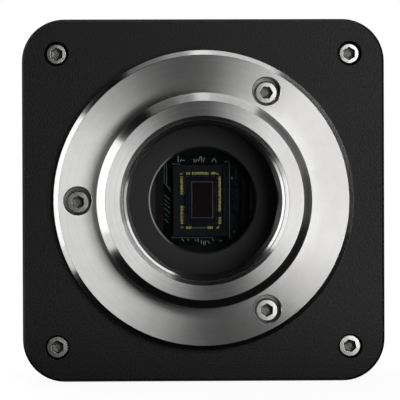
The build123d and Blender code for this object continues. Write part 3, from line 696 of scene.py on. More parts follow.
# Turned finishes: the gain of the metal's colour, the roughness, the anisotropy and the relief in
# millimetres, which the pitch of the tool's rings is in too. The thread's low gain is painted shade, so that
# it looks dark in the ring's mouth.
TURNED_FINISHES = {
    "turned_steel": (1.0, 0.36, 1.0, 0.0006),
    "turned_chamfer": (1.0, 0.2, 0.5, 0.0002),
    "turned_bore": (0.15, 0.36, 0.6, 0.001),
}
TOOL_PITCH = 0.07


def turned(name, colours):
    """Turned metal: rough across the tool's rings and smooth along them, with faint streaks across."""
    gain, middle, anisotropy, distance = TURNED_FINISHES[name]
    constants = {"Metallic": 1.0, "Anisotropic": anisotropy, "Anisotropic_Rotation": 0.25}
    material, tree, shader = start_material(name, **constants)
    rings = use_group(tree, turning_rings, Vector=place_in(tree), Pitch=TOOL_PITCH)
    dark, light, dull = (rgba(colours.turned, gain * share) for share in (0.92, 1.06, 0.72))
    base = blend_colour(tree, rings["Mask"], dark, light)
    base = blend_colour(tree, calc(tree, "MULTIPLY", rings["Streak"], 0.25), base, dull)
    roughness = remap(tree, rings["Mask"], 0.0, 1.0, middle - 0.04, middle + 0.04)
    tangent = add(tree, "ShaderNodeTangent", direction_type="RADIAL", axis="Y").outputs[0]
    normal = relief(tree, rings["Height"], distance)
    feed(tree, shader, Base_Color=base, Roughness=roughness, Tangent=tangent, Normal=normal)
    return material


def rubber(colours):
    """Dull black rubber with fine upright ribs, darker on the lip that lies deep inside."""
    material, tree, shader = start_material("seal_rubber", Specular_IOR_Level=0.1)
    where = place_in(tree)
    grains = use_group(tree, fine_grain, Vector=where, Grain=0.2)
    parts = parts_of(tree, where)
    ribs = calc(tree, "PINGPONG", parts["X"], RIB_PITCH / 2)
    ribs = remap(tree, ribs, 0.0, RIB_PITCH / 2, 0.0, 1.0)
    deep = calc(tree, "GREATER_THAN", parts["Y"], LIP_DEPTH)
    gaps, ridges, low, high = (rgba(colours.rubber, gain) for gain in (0.05, 0.3, 0.7, 1.3))
    light = blend_colour(tree, grains["Mask"], low, high)
    dark = blend_colour(tree, calc(tree, "POWER", ribs, 4.0), gaps, ridges)
    height = calc(tree, "MULTIPLY_ADD", ribs, deep, grains["Height"])
    feed(tree, shader, Base_Color=blend_colour(tree, deep, light, dark), Normal=relief(tree, height, 0.02))
    feed(tree, shader, Roughness=remap(tree, grains["Mask"], 0.0, 1.0, 0.54, 0.7))
    return material


# The net of tracks under the lacquer: the spacing of the slanted, the upright and the level ones, how much of
# it a track takes up, and how many patches there are in a metre
TRACK_SPACING = (2.1 * MM, 1.3 * MM, 1.7 * MM)
TRACK_SHARE = 0.14
TRACK_PATCHES = 260.0


def lacquered_board(colours):
    """Green lacquer over a fine net of copper tracks, which show a little lighter.

    Each of three sets of tracks is where the fraction of a place over the spacing is small, and shows only in
    some of the patches of a coarse net.
    """
    material, tree, shader = start_material("circuit_board", Specular_IOR_Level=0.12)
    where = place_in(tree)
    parts = parts_of(tree, where)
    patches = voronoi_cells(tree, where, TRACK_PATCHES)
    slanted = calc(tree, "LESS_THAN", patches[0], 0.34)
    upright = calc(tree, "GREATER_THAN", patches[0], 0.67)
    level = calc(tree, "GREATER_THAN", patches[1], 0.6)
    places = (calc(tree, "ADD", parts["X"], parts["Z"]), parts["X"], parts["Z"])
    track = 0.0
    for place, spacing, shown in zip(places, TRACK_SPACING, (slanted, upright, level)):
        phase = calc(tree, "FRACT", calc(tree, "DIVIDE", place, spacing))
        line = calc(tree, "MULTIPLY", calc(tree, "LESS_THAN", phase, TRACK_SHARE), shown)
        track = calc(tree, "MAXIMUM", line, track)
    grains = use_group(tree, fine_grain, Vector=where, Grain=0.3)
    plain = blend_colour(tree, grains["Mask"], rgba(colours.solder_mask, 0.8), rgba(colours.solder_mask, 1.2))
    base = blend_colour(tree, calc(tree, "MULTIPLY", track, 0.2), plain, rgba(colours.track))
    roughness = remap(tree, grains["Mask"], 0.0, 1.0, 0.14, 0.20)
    feed(tree, shader, Base_Color=base, Roughness=roughness, Normal=relief(tree, track, 0.02))
    return material


def voronoi_cells(tree, where, scale):
    """Square cells, each with three values of its own."""
    inputs = {"Vector": where, "Scale": scale}
    cells = add(tree, "ShaderNodeTexVoronoi", inputs, distance="CHEBYCHEV").outputs["Color"]
    return add(tree, "ShaderNodeSeparateColor", {0: cells}).outputs


def bare_silicon(colours):
    """Dark silicon with a faint check of circuits round its field of pixels."""
    material, tree, shader = start_material("silicon", Specular_IOR_Level=0.6)
    shade = voronoi_cells(tree, place_in(tree), 4200.0)[0]
    share = calc(tree, "MULTIPLY", shade, 0.6)
    base = blend_colour(tree, share, rgba(colours.silicon), rgba(colours.silicon, 2.2))
    feed(tree, shader, Base_Color=base, Roughness=remap(tree, shade, 0.0, 1.0, 0.1, 0.16))
    return material


def pixel_rows(colours):
    """The field of pixels: dark, with fine rows."""
    material, tree, shader = start_material("pixel_field", Specular_IOR_Level=0.6)
    inputs = {"Vector": place_in(tree), "Scale": 900.0}
    rows = add(tree, "ShaderNodeTexWave", inputs, bands_direction="Z").outputs["Fac"]
    base = blend_colour(tree, rows, rgba(colours.pixels, 0.8), rgba(colours.pixels, 1.3))
    feed(tree, shader, Base_Color=base, Roughness=remap(tree, rows, 0.0, 1.0, 0.08, 0.12))
    return material


def coated_glass(name, tint, roughness):
    """Thin coated glass: it reflects by its angle and lets the rest of the light straight through."""
    material, tree, shader = start_material(name, Metallic=1.0)
    haze = noise(tree, place_in(tree), 120.0, 2.0)
    base = blend_colour(tree, haze, rgba(tint, 0.9), rgba(tint, 1.1))
    rough = remap(tree, haze, 0.3, 0.7, roughness, roughness + 0.03)
    fresnel = add(tree, "ShaderNodeFresnel", {"IOR": 1.35}).outputs[0]
    feed(tree, shader, Base_Color=base, Roughness=rough, Alpha=fresnel)
    return material


def clear_plastic(colours):
    """Clear moulded rod, a little clouded."""
    material, tree, shader = start_material("clear_plastic", IOR=1.49, Transmission_Weight=0.5)
    haze = noise(tree, place_in(tree), 400.0, 2.0)
    base = blend_colour(tree, haze, rgba(colours.rod_cloud), rgba(colours.rod))
    feed(tree, shader, Base_Color=base, Roughness=remap(tree, haze, 0.3, 0.7, 0.12, 0.3))
    return material


def finish_piece(made, material, slot, *replaced):
    """Gives a new piece its material and body, and hides the nodes that it stands for. Its slot is not used.
    """
    made.data.materials.clear()
    made.data.materials.append(material)
    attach(made, ROOT)
    if replaced:
        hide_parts(*replaced)


def dress_nodes(material, *names):
    """Gives nodes of the packed model a material and smooth curves."""
    for name in names:
        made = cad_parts[name]
        made.data.materials.clear()
        made.data.materials.append(material)
        made.modifiers.new("smooth_small_angles", "NODES").node_group = shared(smooth_small_angles)


def dress_table(table, colours):
    """Gives nodes their grained finishes, from rows of a finish and its nodes."""
    for name, *nodes in table:
        dress_nodes(grained(name, colours), *nodes)


# Operators


class BuildStage(bpy.types.Operator):
    """Makes the camera, the pale floor, the white surroundings, the black tent and the lights"""

    bl_idname = "microscope_camera.build_stage"
    bl_label = "Stage"

    def execute(self, context):
        stage = context.scene.camera_stage
        make_camera(context.scene, stage)
        make_surroundings(context.scene, stage)
        make_floor(stage)
        make_tent(stage)
        make_lights(stage)
        return {"FINISHED"}


WHITE = (1.0, 1.0, 1.0, 1.0)
FLOOR_PAINT = (0.9, 0.9, 0.9, 1.0)
CLOTH_SHADES = ((0.003, 0.003, 0.003, 1.0), (0.005, 0.005, 0.005, 1.0))
# How far back the floor reaches, in halves of its width
FLOOR_BACK = 1.5
# How far round from the front the black tent reaches, in degrees, and its rows and columns
TENT_REACH = 128.0
TENT_ROWS = 33
TENT_COLUMNS = 48
# How high the black cloth lies over the floor
CLOTH_RISE = 0.2 * MM


def make_camera(scene, stage):
    """The camera at the photograph's place, with its focal length worked out from pixels."""
    data = bpy.data.cameras.new("camera")
    data.sensor_width = 36.0
    data.lens = data.sensor_width * stage.focal_pixels / stage.picture_pixels
    data.clip_start, data.clip_end = 0.01, 10.0
    camera = bpy.data.objects.new("camera", data)
    camera.location = (-stage.camera_side, -stage.camera_distance, stage.camera_rise)
    aim = Vector((-stage.aim_side, 0.0, stage.aim_rise))
    sight = (aim - camera.location).to_track_quat("-Z", "Y")
    camera.rotation_euler = (sight @ Quaternion((0, 0, 1), stage.camera_roll)).to_euler()
    scene.collection.objects.link(camera)
    scene.camera = camera
    scene.view_settings.view_transform = "Standard"


def seen_directly(tree):
    """One for what the camera sees straight, reflected or through glass, and zero for scattered light."""
    path = add(tree, "ShaderNodeLightPath").outputs
    either = calc(tree, "MAXIMUM", path["Is Camera Ray"], path["Is Glossy Ray"])
    return calc(tree, "MAXIMUM", either, path["Is Transmission Ray"])


def make_surroundings(scene, stage):
    """White surroundings, which light the object only with the fill's strength."""
    world = bpy.data.worlds.new("surroundings")
    scene.world = world
    world.use_nodes = True
    tree = world.node_tree
    tree.nodes.clear()
    strength = calc(tree, "MAXIMUM", seen_directly(tree), stage.fill)
    background = add(tree, "ShaderNodeBackground", {"Color": WHITE, "Strength": strength})
    out = tree.nodes.new("ShaderNodeOutputWorld")
    tree.links.new(background.outputs[0], out.inputs[0])


def make_floor(stage):
    """A small pale floor: mostly white where it is seen, so that its shadow stays faint."""
    material = bpy.data.materials.new("pale_floor")
    material.use_nodes = True
    tree = material.node_tree
    tree.nodes.clear()
    paint = add(tree, "ShaderNodeBsdfDiffuse", {"Color": FLOOR_PAINT})
    white = add(tree, "ShaderNodeEmission", {"Color": WHITE, "Strength": 1.0})
    share = calc(tree, "MULTIPLY", seen_directly(tree), stage.floor_white)
    mix = add(tree, "ShaderNodeMixShader", {0: share, 1: paint.outputs[0], 2: white.outputs[0]})
    out = tree.nodes.new("ShaderNodeOutputMaterial")
    tree.links.new(mix.outputs[0], out.inputs[0])
    floor = piece("pale_floor", floor_sheet(stage, FLOOR_HEIGHT, stage.floor_side))
    floor.data.materials.append(material)


def floor_sheet(stage, height, left):
    """A flat sheet under the object at a height, as far to the left as is given."""
    side = stage.floor_side
    front, back = -stage.floor_front, FLOOR_BACK * side
    corners = np.array([
        (-left, front, height), (side, front, height), (side, back, height), (-left, back, height),
    ])
    return corners, np.array([[0, 1, 2, 3]]), np.zeros((0, 3), int)


def make_tent(stage):
    """A black tent round the front and the sides, and a black cloth on the floor: only reflections show them.

    A point of the tent is R (sin p cos a, -cos p, sin p sin a) for p from 0, in front, to well past the side.
    """
    material, tree, shader = start_material("black_cloth", Roughness=1.0, Specular_IOR_Level=0.0)
    weave = noise(tree, place_in(tree), 30.0, 2.0)
    feed(tree, shader, Base_Color=blend_colour(tree, weave, *CLOTH_SHADES))
    polar = np.radians(np.linspace(0.0, TENT_REACH, TENT_ROWS))[:, None]
    points = stage.tent_radius * round_axis(np.sin(polar), -np.cos(polar), angles(TENT_COLUMNS)[None])
    faces = wrapped_faces(TENT_ROWS, TENT_COLUMNS, False)
    tent = (points.reshape(-1, 3), faces, np.zeros((0, 3), int))
    cloth = floor_sheet(stage, FLOOR_HEIGHT + CLOTH_RISE, stage.cloth_left)
    for name, surface in (("black_tent", tent), ("black_floor_cloth", cloth)):
        made = piece(name, surface)
        made.data.materials.append(material)
        for ray in ("camera", "diffuse", "transmission", "shadow"):
            setattr(made, "visible_" + ray, False)


def soft_light(name, azimuth, polar, distance, span, depth, power):
    """A rectangular soft light that faces the object, hidden from the camera.

    It stands at an azimuth round the lens axis, counted from the right, at a polar angle from the direction
    in which the lens looks, and at a distance. Its span runs round the axis and its depth towards it.
    """
    azimuth, polar = math.radians(azimuth), math.radians(polar)
    data = bpy.data.lights.new(name, "AREA")
    data.shape = "RECTANGLE"
    data.size, data.size_y = span, depth
    data.energy = power
    side = math.sin(polar)
    out = Vector((side * math.cos(azimuth), -math.cos(polar), side * math.sin(azimuth)))
    around = Vector((0, 1, 0)).cross(out).normalized()
    light = bpy.data.objects.new(name, data)
    light.matrix_world = Matrix((around, out.cross(around), out)).transposed().to_4x4()
    light.location = distance * out
    light.visible_camera = False
    bpy.context.scene.collection.objects.link(light)


# The soft lights. Each has its name, azimuth and polar angle in degrees, its distance, span and depth in
# metres, the setting that holds its power, and its share of that power. Two stand in front, one at the left,
# three above, two at the right side and one behind.
SOFT_LIGHTS = (
    ("right_light", 10, 24, 0.65, 0.56, 0.36, "right_power", 1.0),
    ("low_light", -36, 15, 0.25, 0.08, 0.06, "low_power", 1.0),
    ("left_light", 172, 80, 0.65, 0.69, 0.42, "left_power", 1.0),
    ("top_light", 76, 101, 0.65, 0.42, 0.20, "top_power", 0.51),
    ("top_middle_light", 95, 101, 0.65, 0.21, 0.20, "top_power", 0.13),
    ("top_left_light", 112, 101, 0.65, 0.19, 0.20, "top_power", 0.065),
    ("side_light", 40, 78, 0.65, 0.62, 0.16, "side_power", 1.0),
    ("weak_side_light", 1, 78, 0.65, 0.34, 0.16, "side_power", 0.27),
    ("back_light", 110, 145, 0.65, 0.70, 0.50, "back_power", 1.0),
)


def make_lights(stage):
    """Every soft light of the table above."""
    for name, azimuth, polar, distance, span, depth, power, share in SOFT_LIGHTS:
        soft_light(name, azimuth, polar, distance, span, depth, share * getattr(stage, power))


class BuildMountRing(bpy.types.Operator):
    """Turns the ring that carries the lens and bores its three screw holes"""

    bl_idname = "microscope_camera.build_mount_ring"
    bl_label = "Mount ring"

    def execute(self, context):
        mount = context.scene.camera_mount
        colours = context.scene.camera_colours
        ring = piece("mount_ring", closed_surface(turned_grid(ring_profile(mount), mount.columns)))
        bore_screw_holes(ring, mount)
        finish_piece(ring, turned("turned_steel", colours), "turned_steel", "mount_flange")
        ring.data.materials.append(turned("turned_chamfer", colours))
        ring.data.materials.append(grained("drilled_hole", colours))
        mark_cuts(ring, mount)
        thread = piece("lens_thread", thread_surface(mount))
        finish_piece(thread, turned("turned_bore", colours), "turned_steel")
        return {"FINISHED"}


def ring_radii(mount):
    """Radii of the lead, the mouth, the seat, the boss and the rim, each from the one inside it."""
    lead = mount.thread_radius + mount.thread_lead
    mouth = lead + mount.mouth_chamfer
    seat = mouth + mount.seat_width
    boss = seat + mount.boss_chamfer
    return lead, mouth, seat, boss, half_width_of("mount_flange")


def ring_profile(mount):
    """The section of the ring, as points of radius and depth."""
    lead, mouth, seat, boss, rim = ring_radii(mount)
    step = mount.mouth_chamfer + mount.lead_step
    spigot = rim - mount.rim_overhang
    corners = [
        (mouth, 0.0), (seat, 0.0), (boss, mount.boss_chamfer), (boss, mount.boss_height),
        (rim - mount.rim_chamfer, mount.boss_height), (rim, mount.boss_height + mount.rim_chamfer),
        (rim, BODY_FRONT), (spigot, BODY_FRONT), (spigot, RING_BACK), (mount.thread_radius, RING_BACK),
        (mount.thread_radius, step + mount.lead_depth), (lead, step), (lead, mount.mouth_chamfer),
    ]
    return rounded(corners, mount.edge_break)


# How much of a slanted face's normal points along the lens axis, at least and at most
SLANT_LEAST = 0.3
SLANT_MOST = 0.95
# A face in a counterbore is at most this many times the counterbore's radius from its axis
BORE_SLACK = 1.005
# Points round the cutter of a screw hole
HOLE_COLUMNS = 96


def mark_cuts(ring, mount):
    """Gives the chamfers the ring's second material and the screw holes its third."""
    mesh = ring.data
    forward = np.abs(face_values(mesh, "normal")[:, 1])
    slanted = (forward > SLANT_LEAST) & (forward < SLANT_MOST)
    apart = from_nearest(face_values(mesh, "center"), screw_circle(mount))
    drilled = (apart < mount.counterbore_radius * BORE_SLACK) & ~slanted
    mesh.polygons.foreach_set("material_index", (slanted + 2 * drilled).astype(np.int32))


def screw_circle(mount):
    """Places of the three counterbores, across and up."""
    boss = ring_radii(mount)[3]
    radius = boss + mount.screw_edge + mount.counterbore_radius
    turn = mount.first_screw_angle + angles(3)
    return np.stack([radius * np.cos(turn), radius * np.sin(turn)], axis=1)


def bore_screw_holes(ring, mount):
    """Cuts the stepped holes from the ring: a cone at the mouth, the counterbore and the shank's hole.

    The cone goes on in front of the ring, to twice its radius at the ring's face.
    """
    face, bore, shank = mount.boss_height, mount.counterbore_radius, mount.screw_hole_radius
    seat, behind = face + mount.counterbore_depth, RING_BACK + MM
    outer = bore + mount.counterbore_break
    profile = np.array([
        (0.0, face - outer), (2 * outer, face - outer), (bore, face + mount.counterbore_break),
        (bore, seat), (shank, seat), (shank, behind), (0.0, behind),
    ])
    plug = capped_surface(turned_grid(profile, HOLE_COLUMNS))
    places = [(x, 0.0, z) for x, z in screw_circle(mount)]
    cutter = piece("screw_hole_cutter", copies(plug, places))
    cut = ring.modifiers.new("screw_holes", "BOOLEAN")
    cut.operation, cut.solver, cut.object = "DIFFERENCE", "EXACT", cutter
    graph = bpy.context.evaluated_depsgraph_get()
    bored = bpy.data.meshes.new_from_object(ring.evaluated_get(graph))
    ring.modifiers.clear()
    ring.data = bored
    smooth(bored)
    bpy.data.objects.remove(cutter)


# The thread: points in a pitch and round a turn, how far its back end stays off the ring's, how far outside
# the thread's radius the grooves and the buried back lie, and the wave's value where a flank starts and how
# much it changes along the flank
THREAD_ROWS = 12
THREAD_COLUMNS = 240
THREAD_GAP = 0.05 * MM
THREAD_SUNK = 0.01 * MM
THREAD_BURIED = 0.2 * MM
FLANK_START = 0.125
FLANK_RANGE = 0.75


def thread_surface(mount):
    """The female thread: its radius is the bottom radius less the height times a ridge wave.

    The wave of the depth over the pitch less the angle over a turn rises and falls in straight lines with
    flat crests, and fades in and out over one pitch at both ends. The piece's back lies in the ring's wall.
    """
    start = mount.mouth_chamfer + mount.lead_step + mount.lead_depth + 2 * mount.edge_break
    end = RING_BACK - THREAD_GAP
    depth = np.arange(start, end, mount.thread_pitch / THREAD_ROWS)[:, None]
    turn = angles(THREAD_COLUMNS)[None]
    phase = (depth / mount.thread_pitch - turn / TURN) % 1.0
    ridge = np.clip((1.0 - np.abs(2.0 * phase - 1.0) - FLANK_START) / FLANK_RANGE, 0.0, 1.0)
    fade = np.clip(np.minimum(depth - start, end - depth) / mount.thread_pitch, 0.0, 1.0)
    radius = mount.thread_radius + THREAD_SUNK - mount.thread_height * ridge * fade
    inner = round_axis(radius, depth, turn)
    outer = round_axis(mount.thread_radius + THREAD_BURIED, np.array([depth[-1], depth[0]]), turn)
    return closed_surface(np.concatenate([inner, outer]))


class BuildScrews(bpy.types.Operator):
    """Makes the socket screws of the covers and the mount ring"""

    bl_idname = "microscope_camera.build_screws"
    bl_label = "Screws"

    def execute(self, context):
        screws = context.scene.camera_screws
        colours = context.scene.camera_colours
        steel, inside = grained("screw_steel", colours), grained("key_hole", colours)
        for name, node, turns, breaks, facing in SCREW_GROUPS:
            made = piece(name, screw_set(screws, node, np.radians(turns), breaks, facing))
            finish_piece(made, steel, "screw_steel", node)
            made.data.materials.append(inside)
            mark_key_holes(made, screws, node, len(turns), facing)
        dress_nodes(steel, "main_board_screws")
        return {"FINISHED"}


# Each set of screws: its piece and its node, how far each key hole is turned in degrees, the width of the
# chamfer round each head in millimetres, and which way the heads face
SCREW_GROUPS = (
    ("front_cover_cap_screws", "front_cover_screws", (30.0, 30.0, 34.0, 42.0), (0.34, 0.34, 0.2, 0.2), -1),
    ("rear_cover_cap_screws", "rear_cover_screws", (30.0, 30.0, 34.0, 42.0), (0.2, 0.2, 0.2, 0.2), 1),
    ("mount_ring_cap_screws", "flange_screws", (0.0, 30.0, 27.0), (0.2, 0.2, 0.2), -1),
)
# How far the inside of a key hole reaches: across, as a share of the flats, and down, as a share of the head
KEY_REACH = 0.6
KEY_BOTTOM = 0.9


def mark_key_holes(made, screws, node, count, facing):
    """Gives the walls and floors of the key holes the screws' second material."""
    centres = face_values(made.data, "center")
    apart = from_nearest(centres, screw_places(node, count, screws.head_radius))
    top = front_of(node) if facing < 0 else back_of(node)
    deep = (centres[:, 1] - top) * -facing
    within = (deep > screws.key_break) & (deep < screws.head_height * KEY_BOTTOM)
    inside = within & (apart < screws.key_flats * KEY_REACH)
    made.data.polygons.foreach_set("material_index", inside.astype(np.int32))


def screw_places(node, count, head_radius):
    """Where the screws of a node stand, from the node's box: at its corners, or on its circle of three."""
    low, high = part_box(node)
    left, right = low.x + head_radius, high.x - head_radius
    bottom, top = low.z + head_radius, high.z - head_radius
    if count == 4:
        return [(right, top), (left, top), (left, bottom), (right, bottom)]
    return [(right, top), (left, (top + bottom) / 2), (right, bottom)]


def hexagon(turn):
    """A hexagon with its corners at one: cos 30 over the cosine of the angle from a side's middle."""
    return math.cos(TURN / 12) / np.cos(turn % (TURN / 6) - TURN / 12)


def screw_set(screws, node, turns, breaks, facing):
    """Every screw of a set, each with its own turn of the key hole and its own chamfer round the head."""
    low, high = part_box(node)
    seat = low.y + screws.head_height if facing < 0 else high.y - screws.head_height
    length = high.y - low.y - screws.head_height
    places = screw_places(node, len(turns), screws.head_radius)
    made = []
    for (x, z), turn, edge in zip(places, turns, breaks):
        made.append(copies(screw_surface(screws, seat, length, turn, edge * MM, facing), [(x, 0.0, z)]))
    return joined(made)


def screw_surface(screws, seat, length, turn, edge, facing):
    """One screw: a profile of radius, depth, key share and knurl share, carried round its axis.

    The radius is the profile's, times the hexagon's outline where the key share is one, and less the knurl's
    depth times the size of a sine where the knurl share is one.
    """
    top = -screws.head_height
    corner = screws.key_flats / 2 / math.cos(TURN / 12)
    head, rim, floor = screws.head_radius, top + screws.head_fall, top + screws.key_depth
    foot, middle = corner - screws.key_taper, floor + screws.key_cone
    profile = rounded([
        (0.0, length, 0, 0), (screws.shank_radius, length, 0, 0), (screws.shank_radius, 0.0, 0, 0),
        (head, 0.0, 0, 0), (head, -edge, 0, 1), (head, rim + 1.5 * edge, 0, 1), (head, rim + edge, 0, 0),
        (head - edge, rim, 0, 0), (corner + screws.key_break, top, 1, 0),
        (corner, top + screws.key_break, 1, 0), (foot, floor, 1, 0), (foot / 2, middle, 1, 0),
        (0.0, middle, 1, 0),
    ], screws.edge_break, closed=False)
    radius, depth, key, knurl = (profile[:, number, None] for number in range(4))
    around = angles(screws.columns)[None]
    key_shape = 1.0 - np.clip(key, 0, 1) * (1.0 - hexagon(around - turn))
    grooves = np.clip(knurl, 0, 1) * screws.knurl_depth * np.abs(np.sin(screws.knurl_count * around / 2))
    grid = round_axis(radius * key_shape - grooves, seat - facing * depth, around)
    return capped_surface(grid)


class DressBody(bpy.types.Operator):
    """Gives the body its black anodised finish"""

    bl_idname = "microscope_camera.dress_body"
    bl_label = "Body"

    def execute(self, context):
        colours = context.scene.camera_colours
        dress_nodes(anodised("black_anodised", colours), "body_shell", "rear_cover")
        dress_nodes(anodised("black_anodised_front", colours, well=True), "front_cover")
        return {"FINISHED"}


class DressGlass(bpy.types.Operator):
    """Gives the filter window and the sensor's lid their glass"""

    bl_idname = "microscope_camera.dress_glass"
    bl_label = "Glass"

    def execute(self, context):
        colours = context.scene.camera_colours
        dress_nodes(coated_glass("filter_glass", colours.filter_coat, 0.03), "window_glass")
        dress_nodes(coated_glass("lid_glass", colours.lid_coat, 0.04), "sensor_cover_glass")
        return {"FINISHED"}


class BuildSensor(bpy.types.Operator):
    """Makes the field of pixels, its border, the bond pads and wires, and the carrier's strokes and strip"""

    bl_idname = "microscope_camera.build_sensor"
    bl_label = "Sensor"

    def execute(self, context):
        sensor = context.scene.camera_sensor
        colours = context.scene.camera_colours
        gold = grained("gold", colours)
        dress_nodes(grained("carrier_ceramic", colours), "sensor_package")
        dress_nodes(bare_silicon(colours), "sensor_die")
        dress_nodes(gold, "bond_fingers")
        film = (SENSOR_PLANE - sensor.film, SENSOR_PLANE)
        shelf = (front_of("bond_fingers"), SENSOR_PLANE)
        half = sensor.active_height / 2
        field = bars([(0.0, -half, 0.0, half)], sensor.active_width, *film)
        finish_piece(piece("pixel_field", field), pixel_rows(colours), "silicon")
        border = frame_bars(sensor.active_width, sensor.active_height, sensor.border)
        lines = piece("pixel_border", bars(border, sensor.border, *film))
        finish_piece(lines, grained("pixel_border", colours), "silicon")
        pads, wires = pads_and_wires(sensor, film)
        finish_piece(piece("bond_pads", pads), grained("bond_pads", colours), "silicon")
        finish_piece(piece("bond_wires", wires), gold, "gold")
        corners = bars(placed_on("sensor_die", CORNER_FINGERS), sensor.corner_width, *shelf)
        finish_piece(piece("corner_fingers", corners), gold, "gold")
        strip = bars(placed_on("sensor_die", CARRIER_STRIP), sensor.strip_width, *shelf)
        finish_piece(piece("carrier_strip", strip), grained("carrier_strip", colours), "carrier_ceramic")
        return {"FINISHED"}


# Runs of bond fingers along each side of the silicon, from its middle, with their pitch and how far a
# finger's middle stands from the silicon's edge, all in millimetres
FINGER_PITCH = 0.24
FINGER_RUNS_LEFT = ((1.1, 4.0), (-4.0, -0.9))
FINGER_RUNS_RIGHT = ((-1.85, 4.0), (-4.0, -2.85))
FINGER_RUNS_TOP = ((-2.5, -1.8), (-1.45, 1.3), (1.8, 2.5))
FINGER_RUNS_BOTTOM = ((-2.5, -1.6), (1.15, 2.0))
FINGER_REACH = 0.36
# Gold strokes in the carrier's corners, and the green strip below the silicon: x, z, x, z from its middle
CORNER_FINGERS = (
    (-3.48, 4.42, -3.30, 4.62), (-3.24, 4.42, -3.08, 4.62), (2.66, 4.62, 2.84, 4.42),
    (2.90, 4.56, 3.06, 4.34), (-3.50, -4.50, -3.22, -4.72), (-3.20, -4.44, -3.02, -4.64),
    (2.60, -4.68, 3.02, -4.68), (3.02, -4.30, 3.02, -4.52),
)
CARRIER_STRIP = ((-1.45, -4.66, 0.95, -4.66),)
# Points along a bond wire and round it, and how steeply it swells at its ends: in an eighth of its length
WIRE_POINTS = 9
WIRE_SIDES = 5
WIRE_SWELL = 8


def finger_places(runs):
    """Positions of the fingers along one side, evenly spaced within each run."""
    places = []
    for start, end in runs:
        count = int((end - start) / FINGER_PITCH) + 1
        first = (start + end) / 2 - (count - 1) * FINGER_PITCH / 2
        places.append(first + FINGER_PITCH * np.arange(count))
    return np.concatenate(places) * MM


def wire_ends(sensor):
    """The pad on the silicon and the landing on the carrier of every wire, across and up."""
    low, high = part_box("sensor_die")
    x, z = centre_of("sensor_die")
    reach, inset = FINGER_REACH * MM, sensor.pad_inset
    sides = (
        (FINGER_RUNS_LEFT, 0, low.x, -1), (FINGER_RUNS_RIGHT, 0, high.x, 1),
        (FINGER_RUNS_TOP, 1, high.z, 1), (FINGER_RUNS_BOTTOM, 1, low.z, -1),
    )
    pads, landings = [], []
    for runs, axis, edge, way in sides:
        along = finger_places(runs) + (z if axis == 0 else x)
        for store, place in ((pads, edge - way * inset), (landings, edge + way * reach)):
            fixed = np.full(len(along), place)
            store.append(np.stack([fixed, along] if axis == 0 else [along, fixed], axis=1))
    return np.concatenate(pads), np.concatenate(landings)


def pads_and_wires(sensor, film):
    """The bond pads as small plates in the film's depths, and the wires as thin tubes.

    The middle line of a wire goes from pad to landing and rises by 4 h s (1 - s) for s from 0 to 1. Round it,
    the tube's points are r (cos a across + sin a forward), and its two ends shrink to a point.
    """
    pads, landings = wire_ends(sensor)
    half = sensor.pad_side / 2
    plates = bars(np.concatenate([pads - [half, 0], pads + [half, 0]], axis=1), sensor.pad_side, *film)
    s = np.linspace(0, 1, WIRE_POINTS)
    line = pads[:, None] + (landings - pads)[:, None] * s[None, :, None]
    rise = 4 * sensor.wire_rise * s * (1 - s)
    along = (landings - pads) / np.linalg.norm(landings - pads, axis=1, keepdims=True)
    across = np.stack([-along[:, 1], along[:, 0]], axis=1)[:, None, None]
    turn = angles(WIRE_SIDES)
    radius = sensor.wire_radius * np.minimum(1.0, WIRE_SWELL * np.minimum(s, 1 - s))
    sideways, forward = (radius[:, None] * wave[None] for wave in (np.cos(turn), np.sin(turn)))
    x, z = (line[:, :, None, axis] + across[..., axis] * sideways[None] for axis in (0, 1))
    lift = sensor.film + sensor.wire_radius
    y = np.broadcast_to(SENSOR_PLANE - lift - rise[None, :, None] + forward[None], x.shape)
    grids = np.stack([x, y, z], axis=-1)
    return plates, joined([capped_surface(grid) for grid in grids])


class BuildBoardMarks(bpy.types.Operator):
    """Puts the white print and the copper tracks on the sensor's board"""

    bl_idname = "microscope_camera.build_board_marks"
    bl_label = "Board marks"

    def execute(self, context):
        board = context.scene.camera_board
        colours = context.scene.camera_colours
        dress_nodes(lacquered_board(colours), "sensor_board", "main_board")
        marks = (
            ("board_outline", OUTLINE, board.print_width), ("board_ticks", TICKS, board.print_width),
            ("board_tracks", TRACKS, board.trace_width),
        )
        for name, lines, width in marks:
            placed = placed_on("sensor_package", lines)
            made = piece(name, bars(placed, width, BOARD_FRONT - board.print_height, BOARD_FRONT))
            finish_piece(made, grained(name, colours), "circuit_board")
        return {"FINISHED"}


# The white outline round the sensor, in millimetres from the sensor's middle: x, z, x, z
OUTLINE = (
    (4.93, 6.25, 4.93, -6.5), (-4.97, -6.33, 2.1, -6.33), (-4.8, 6.2, -3.45, 6.2), (5.0, 6.3, 4.6, 6.7),
)
# White ticks beside the parts of the board, in the same way
TICKS = (
    (-3.8, 6.5, -3.8, 7.6), (-3.5, 6.6, -3.2, 7.0), (-3.1, 6.8, -2.7, 6.8), (-1.1, 6.5, -1.1, 7.1),
    (-0.85, 6.5, -0.6, 7.0), (-0.4, 6.6, 0.0, 7.5), (0.2, 6.5, 0.2, 7.5), (0.45, 6.5, 0.7, 7.3),
    (1.9, 6.5, 2.3, 7.2), (2.3, 7.2, 2.7, 6.5), (4.15, 6.6, 4.45, 6.6), (-3.2, -6.6, -2.9, -6.9),
    (-2.3, -6.6, -2.0, -6.8), (-1.0, -6.6, -0.8, -6.9), (-0.5, -6.5, -0.4, -7.1), (0.1, -6.7, 0.1, -7.4),
    (0.5, -6.9, 0.5, -7.8), (0.8, -6.8, 0.8, -7.7), (1.2, -6.9, 1.5, -7.4), (2.0, -6.5, 2.2, -6.9),
    (3.2, -6.9, 3.6, -6.9), (-2.4, -7.6, -2.4, -7.8), (-1.3, -7.7, -1.3, -7.9), (5.36, 3.6, 5.36, 4.0),
    (5.6, -5.4, 5.75, -5.4),
)
